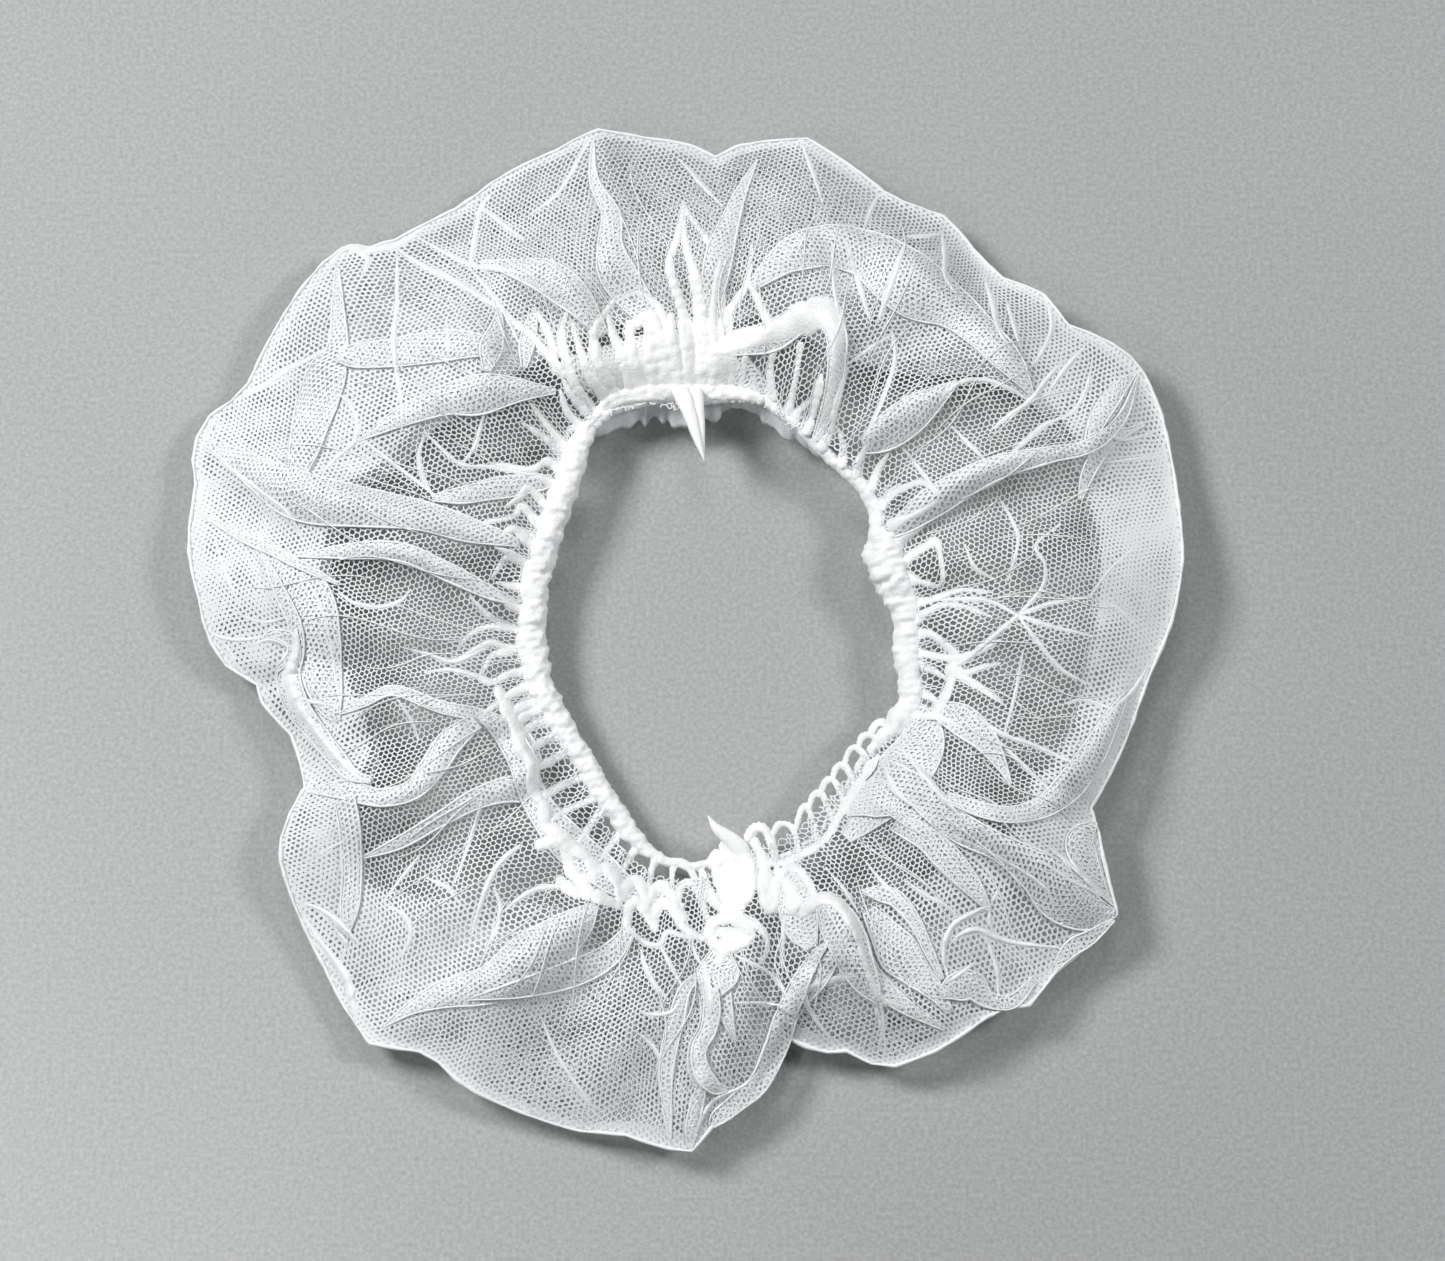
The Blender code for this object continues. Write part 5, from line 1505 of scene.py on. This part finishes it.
print("gathered cords:", len(CORDS), "with", len(gathers.data.polygons), "faces")

# %% [markdown]
# ## Knots, loops and tail
# At each end of the eye the net is tied into a hard white knot with a twisted tip that points into the eye.
# Beside the lower one the leftover net is rolled into loops, and a knotted tail of it lies down to the rim.
# Each is one skin over a few wide strokes, and every stroke has its own share of roundness after its row.

# %% Tables of knots
TOP_KNOT = [
    ([(596, 415, 10), (612, 402, 14), (638, 395, 16), (665, 393, 17), (690, 393, 17), (715, 393, 16),
      (740, 394, 14), (760, 399, 10)], 0.8),
    ([(592, 372, 20), (612, 372, 34), (640, 368, 44), (665, 362, 52), (690, 360, 54), (712, 364, 46),
      (730, 372, 26)], 0.05),
    ([(626, 332, 6), (634, 325, 9), (643, 320, 10), (651, 318, 8)], 0.5),
    ([(572, 324, 3), (580, 350, 7), (588, 374, 10), (602, 392, 12), (612, 404, 12)], 0.6),
    ([(616, 298, 3), (600, 320, 6), (594, 334, 9), (596, 356, 11), (604, 374, 11), (617, 396, 12)], 0.6),
    ([(608, 314, 3), (613, 334, 8), (622, 354, 11), (628, 376, 11), (632, 398, 12)], 0.65),
    ([(629, 324, 7), (631, 346, 11), (635, 366, 12), (643, 394, 12)], 0.65),
    ([(620, 299, 3), (636, 293, 5), (650, 299, 6), (660, 310, 7), (666, 322, 7), (668, 340, 9),
      (672, 360, 12)], 0.5),
    ([(641, 318, 7), (650, 314, 10), (656, 326, 12), (661, 344, 14), (665, 366, 14), (667, 394, 14)], 0.6),
    ([(649, 330, 10), (650, 345, 12), (653, 364, 12), (655, 392, 13)], 0.65),
    ([(671, 316, 6), (671, 336, 11), (675, 356, 14), (678, 392, 14)], 0.6),
    ([(683, 203, 2), (677, 238, 6), (669, 262, 8), (674, 285, 9), (681, 306, 10), (686, 330, 13),
      (689, 356, 14), (689, 392, 14)], 0.6),
    ([(683, 203, 2), (685, 240, 6), (692, 268, 9), (698, 296, 12), (701, 320, 14), (702, 350, 14),
      (701, 392, 14)], 0.6),
    ([(684, 208, 3), (700, 230, 4), (710, 246, 4)], 0.45),
    ([(720, 262, 5), (715, 290, 7), (713, 315, 8), (712, 340, 12), (713, 362, 12), (713, 392, 13)], 0.6),
    ([(752, 246, 2), (747, 282, 5), (738, 298, 7), (729, 312, 8), (721, 330, 9), (715, 350, 12)], 0.45),
    ([(748, 282, 4), (758, 300, 7), (765, 316, 8), (772, 330, 10)], 0.45),
    ([(724, 296, 4), (722, 312, 5), (720, 332, 7)], 0.45),
    ([(730, 310, 4), (730, 328, 6), (726, 346, 8)], 0.45),
    ([(712, 352, 14), (728, 348, 14), (745, 342, 16), (762, 338, 16), (780, 332, 10)], 0.35),
    ([(718, 345, 8), (735, 336, 10), (752, 332, 11), (768, 330, 9)], 0.4),
    ([(534, 310, 3), (545, 326, 7), (552, 346, 8), (555, 370, 8)], 0.45),
    ([(499, 306, 3), (514, 322, 6), (529, 333, 7), (545, 352, 8), (562, 374, 8)], 0.45),
    ([(566, 314, 3), (561, 335, 8), (566, 360, 10), (575, 385, 9), (590, 408, 9)], 0.45),
    ([(734, 345, 7), (732, 368, 6), (730, 392, 7)], 0.45),
    ([(746, 345, 6), (744, 368, 5), (740, 392, 6)], 0.45),
    ([(718, 350, 8), (719, 370, 8), (720, 392, 8)], 0.45),
    ([(750, 370, 3), (754, 384, 4), (759, 398, 4)], 0.45),
    ([(774, 350, 6), (770, 366, 5), (769, 384, 5), (770, 402, 7)], 0.45),
    ([(800, 345, 5), (796, 375, 4), (792, 400, 5), (787, 414, 6)], 0.45),
]
TOP_ARC = [
    ([(752, 341, 12), (770, 334, 20), (790, 325, 27), (808, 317, 30), (823, 315, 26), (833, 327, 18),
      (836, 348, 12), (833, 378, 10), (826, 408, 10), (818, 436, 8)], 0.16),
    ([(812, 300, 6), (824, 299, 8), (836, 310, 9), (842, 326, 8), (841, 348, 6)], 0.3),
]
BOTTOM_KNOT = [
    ([(712, 864, 8), (717, 856, 14), (719, 872, 15), (723, 888, 15), (730, 904, 12), (734, 914, 9)], 0.7),
    ([(726, 846, 12), (730, 858, 17), (733, 876, 18), (735, 894, 16), (735, 910, 11)], 0.75),
    ([(738, 848, 14), (745, 860, 18), (748, 876, 18), (746, 892, 17), (739, 906, 13)], 0.7),
    ([(700, 868, 5), (706, 882, 6), (712, 896, 7), (721, 908, 8), (729, 915, 8)], 0.6),
    ([(704, 864, 5), (715, 862, 6), (722, 872, 7), (722, 886, 7), (728, 898, 8), (735, 910, 8),
      (745, 920, 6), (758, 928, 5), (766, 938, 4), (767, 950, 4), (761, 962, 3)], 0.6),
    ([(748, 838, 9), (754, 829, 9), (764, 829, 8), (771, 841, 7), (775, 858, 6), (777, 872, 6)], 0.7),
]
LOOPS = [
    ([(754, 842, 8), (760, 854, 11), (764, 868, 13), (765, 884, 15), (767, 899, 16), (770, 910, 11)], 0.7),
    ([(774, 910, 7), (776, 896, 9), (778, 882, 11), (784, 871, 10), (791, 867, 9), (800, 871, 8),
      (810, 885, 7), (816, 899, 6)], 0.8),
    ([(786, 882, 10), (791, 890, 15), (793, 901, 17), (792, 911, 12)], 0.5),
    ([(804, 914, 10), (812, 904, 13), (824, 899, 13), (836, 902, 12), (846, 912, 10), (854, 926, 9),
      (859, 938, 8)], 0.55),
    ([(785, 918, 5), (783, 938, 4), (782, 964, 3)], 0.5),
]
LEG = [
    ([(858, 938, 6), (866, 966, 6), (874, 988, 7), (882, 1000, 8), (892, 1004, 7), (904, 1006, 5)], 0.4),
    ([(874, 998, 5), (878, 1014, 4), (882, 1032, 4), (880, 1048, 3)], 0.4),
    ([(800, 992, 7), (820, 984, 7), (838, 979, 7), (856, 976, 5)], 0.35),
]
TAIL = [
    ([(708, 936, 11), (712, 924, 12), (724, 918, 11), (738, 921, 12), (748, 930, 10), (755, 936, 3)], 0.6),
    ([(709, 936, 11), (716, 945, 12), (728, 948, 12), (742, 943, 11), (752, 938, 5)], 0.6),
    ([(720, 932, 8), (732, 934, 13), (744, 935, 9)], 0.6),
    ([(726, 944, 14), (723, 952, 14), (718, 962, 8)], 0.5),
    ([(704, 964, 5), (707, 980, 6), (709, 998, 6), (710, 1014, 5)], 0.5),
]
SECOND_CORD = [
    ([(498, 690, 9), (506, 706, 12), (517, 728, 13), (521, 748, 15), (532, 764, 13), (533, 790, 13),
      (544, 806, 12), (545, 826, 15), (560, 834, 12), (572, 848, 16), (585, 856, 12), (596, 868, 13),
      (608, 870, 12), (618, 882, 12), (622, 897, 11), (627, 886, 11), (636, 881, 12), (643, 888, 11),
      (648, 901, 11), (655, 890, 11), (664, 887, 12), (672, 894, 11), (676, 908, 9), (684, 918, 8)], 0.6),
    ([(626, 925, 8), (629, 908, 9), (636, 901, 11), (643, 905, 11), (650, 917, 11), (655, 928, 8)], 0.5),
    ([(655, 926, 6), (657, 908, 9), (664, 901, 9), (672, 908, 8), (678, 920, 8), (690, 932, 8),
      (702, 938, 6)], 0.5),
    ([(678, 905, 6), (679, 890, 8), (687, 883, 8), (696, 887, 8), (702, 902, 6), (706, 918, 5)], 0.5),
    ([(540, 845, 12), (556, 842, 13), (566, 850, 13), (570, 868, 12), (580, 880, 12), (592, 876, 10)], 0.4),
    ([(560, 880, 9), (572, 890, 12), (590, 893, 12), (606, 900, 10), (618, 905, 7)], 0.4),
]
SPIKES = {
    "top_spike": [
        [(677, 376, 12, -6), (680, 390, 17, -3), (685, 405, 17, -1), (692, 426, 13, 0), (698, 446, 8, 0),
         (704, 465, 1, 0)],
        [(691, 376, 12, -6), (693, 390, 16, -3), (697, 405, 14, -1), (700, 426, 10, 0), (702, 446, 6, 0),
         (704, 465, 1, 0)],
    ],
    "bottom_spike": [
        [(708, 817, 1, 1.5), (715, 828, 8, 1.5), (724, 836, 13, 1.2), (733, 842, 16, 0.6),
         (741, 852, 18, -0.6), (744, 866, 14, -2.5)],
    ],
}
print("strokes of the two knots:", len(TOP_KNOT) + len(BOTTOM_KNOT))

# %% [markdown]
# ## Skins and free tips
# The knots, loops and tail are made in the same way as the creases, but sunk deeper, so that they seem to
# grow out of the net. The two twisted tips stand free, so they are tubes instead. Their rows also give a rise
# in mm, above the higher of the net's heights at a tip's two ends.

# %% Knots, loops, tail and tips
MOUND_STEP = 1.25
MOUND_SINK = 0.35 * MM
FIRST_MOUND_SEED = 60
NEXT_MOUND_SEED = 40
SPIKE_STEP = 0.5 * MM
SPIKE_SIDES = 16
SPIKE_HEIGHT = 0.7
SPIKE_BUMPS = 0.05
SPIKE_WAVE = 4 * MM
SPIKE_SEED = 71
BUNCHES = {
    "top_bunch": (TOP_KNOT, "top_knot", finishes["knotted_net"]),
    "top_arc": (TOP_ARC, "top_knot", finishes["gathered_net"]),
    "bottom_bunch": (BOTTOM_KNOT, "bottom_knot", finishes["knotted_net"]),
    "loops": (LOOPS, "rolled_loops", finishes["gathered_net"]),
    "leg": (LEG, "rolled_loops", finishes["crease_net"]),
    "tail": (TAIL, "tie_tail", finishes["gathered_net"]),
    "second_gathering": (SECOND_CORD, "shirring_cord", finishes["gathered_net"]),
}
for number, (name, (strokes, node, material)) in enumerate(BUNCHES.items()):
    skin = [mound(strokes, MOUND_STEP, MOUND_SINK, FIRST_MOUND_SEED + NEXT_MOUND_SEED * number)]
    made = dressed(strips_object(name, skin, material, True), node)
    print(name, len(made.data.polygons), "faces")


def spike(rows):
    """A twisted tip of net that stands free of the cap. Its foot goes down into the knot."""
    rows = curve(rows, SPIKE_STEP / PIXEL)
    places = on_net(rows[:, :2])
    foot = top_of_net(places[[0, -1]]).max()
    route = np.column_stack([places, foot + rows[:, 3] * MM])
    radius = np.maximum(rows[:, 2], 0.3) * PIXEL / 2
    return tube(route, radius, SPIKE_HEIGHT, SPIKE_SIDES, SPIKE_BUMPS, SPIKE_WAVE, SPIKE_SEED)


for name, tips in SPIKES.items():
    node = "top_knot" if name == "top_spike" else "bottom_knot"
    made = dressed(tubes_object(name, [spike(rows) for rows in tips], finishes["knotted_net"]), node)
    print(name, len(made.data.polygons), "faces")

# %% [markdown]
# ## Thread of the panels
# For each panel the area of its thread is printed, and the larger of that and a least area from the size of
# the rectangle that it fits in when it is flat. The declared area is not that of the flat cut. The pleats,
# what fills them, the creases and the edges belong to the same net.

LEAST_COVER = 0.301
for name, (made, size, area) in net_panels.items():
    least = LEAST_COVER * size[0] * size[1]
    [pleat_net, pleat_fill, crease_lines, edge_lines] if name == "net_panel_left" else []
    print(name, "has", round(area * 1e4), "square cm of thread, declared as", round(max(area, least) * 1e4))

# %% [markdown]
# ## Floor and light
# The cap lies on a plain pale surface. The photo has a shadow on both sides of the cap, so one soft light
# comes from the left and one from the right. A weaker one from beyond the cap shades the upper edge of the
# eye, and a faint one from nearby keeps the fronts of the folds from going dark.

# %% Floor and lights
FLOOR_SIZE = 3.0
FLOOR_DARK = (0.35, 0.357, 0.36)
FLOOR_LIGHT = (0.60, 0.607, 0.61)
FLOOR_GRAIN = (800, 3, 0.7)
FLOOR_CLOUDS = (5, 2)
GRAIN_DEPTH = 0.25 * MM
PAINTED_LIGHT_FROM = 0.12
WORLD_COLOUR = (0.97, 0.99, 1.0, 1)
WORLD_STRENGTH = 0.05
# Each light has its heading and height in degrees, its distance and size in metres, and its power in watts.
LIGHTS = {
    "left_light": (154, 46, 1.5, 0.42, 16.6),
    "right_light": (12, 44, 2.1, 0.5, 17.2),
    "far_light": (90, 60, 2.2, 0.5, 6.2),
    "near_light": (222, 50, 1.1, 0.4, 1.6),
}


def floor_finish():
    """A grey cloth with fine grain, and a painted pool of light that makes it paler towards the corner at the
    lower left.
    """
    finish = Finish("floor_grey")
    grain = finish.spots(*FLOOR_GRAIN)
    cloudy = finish.spots(*FLOOR_CLOUDS)
    place = finish.node("ShaderNodeTexCoord", {}, {}, "Object")
    right = finish.node("ShaderNodeSeparateXYZ", {}, {"Vector": place}, "X")
    far = finish.node("ShaderNodeSeparateXYZ", {}, {"Vector": place}, "Y")
    # A painted pool of light, paler towards the lower left corner of the floor.
    corner = finish.node("ShaderNodeMath", {"operation": "MAXIMUM"}, {0: -PAINTED_LIGHT_FROM - right - far, 1: 0.0})
    bump = finish.node("ShaderNodeBump", {}, {"Strength": 0.4, "Distance": GRAIN_DEPTH, "Height": grain})
    share = 0.25 * cloudy + 1.5 * grain - 0.66 + 1.7 * corner
    colour = finish.blend(share, FLOOR_DARK, FLOOR_LIGHT)
    finish.set({"Base Color": colour, "Roughness": 0.85 + 0.1 * grain, "Normal": bump}, finish.shader)
    return finish.material


floor_data = bpy.data.meshes.new("floor")
half_floor = FLOOR_SIZE / 2
floor_corners = [(half_floor * x, half_floor * y, 0) for x, y in ((-1, -1), (1, -1), (1, 1), (-1, 1))]
floor_data.from_pydata(floor_corners, [], [(0, 1, 2, 3)])
floor_data.materials.append(floor_finish())
floor = bpy.data.objects.new("floor", floor_data)
bpy.context.scene.collection.objects.link(floor)
floor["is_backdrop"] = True


def soft_light(name, heading, height, distance, size, power):
    """A square light that faces the cap from a heading and a height."""
    light = bpy.data.lights.new(name, "AREA")
    light.size = size
    light.energy = power
    made = bpy.data.objects.new(name, light)
    bpy.context.scene.collection.objects.link(made)
    turn = math.radians(heading)
    rise = math.radians(height)
    from_cap = Vector((math.cos(turn) * math.cos(rise), math.sin(turn) * math.cos(rise), math.sin(rise)))
    made.location = from_cap * distance
    made.rotation_euler = from_cap.to_track_quat("Z", "Y").to_euler()


for name, row in LIGHTS.items():
    soft_light(name, *row)
world = bpy.data.worlds.new("studio")
world.use_nodes = True
background = world.node_tree.nodes["Background"]
background.inputs["Color"].default_value = WORLD_COLOUR
background.inputs["Strength"].default_value = WORLD_STRENGTH
bpy.context.scene.world = world
bpy.context.scene.view_settings.view_transform = "Standard"
print("lights:", ", ".join(LIGHTS))

# %% [markdown]
# ## Sizes
# The size of the box round all the pieces that are shown is printed.

# %% Sizes and the end
low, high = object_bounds()
print("all pieces, in metres:", [round(end - start, 4) for start, end in zip(low, high)])
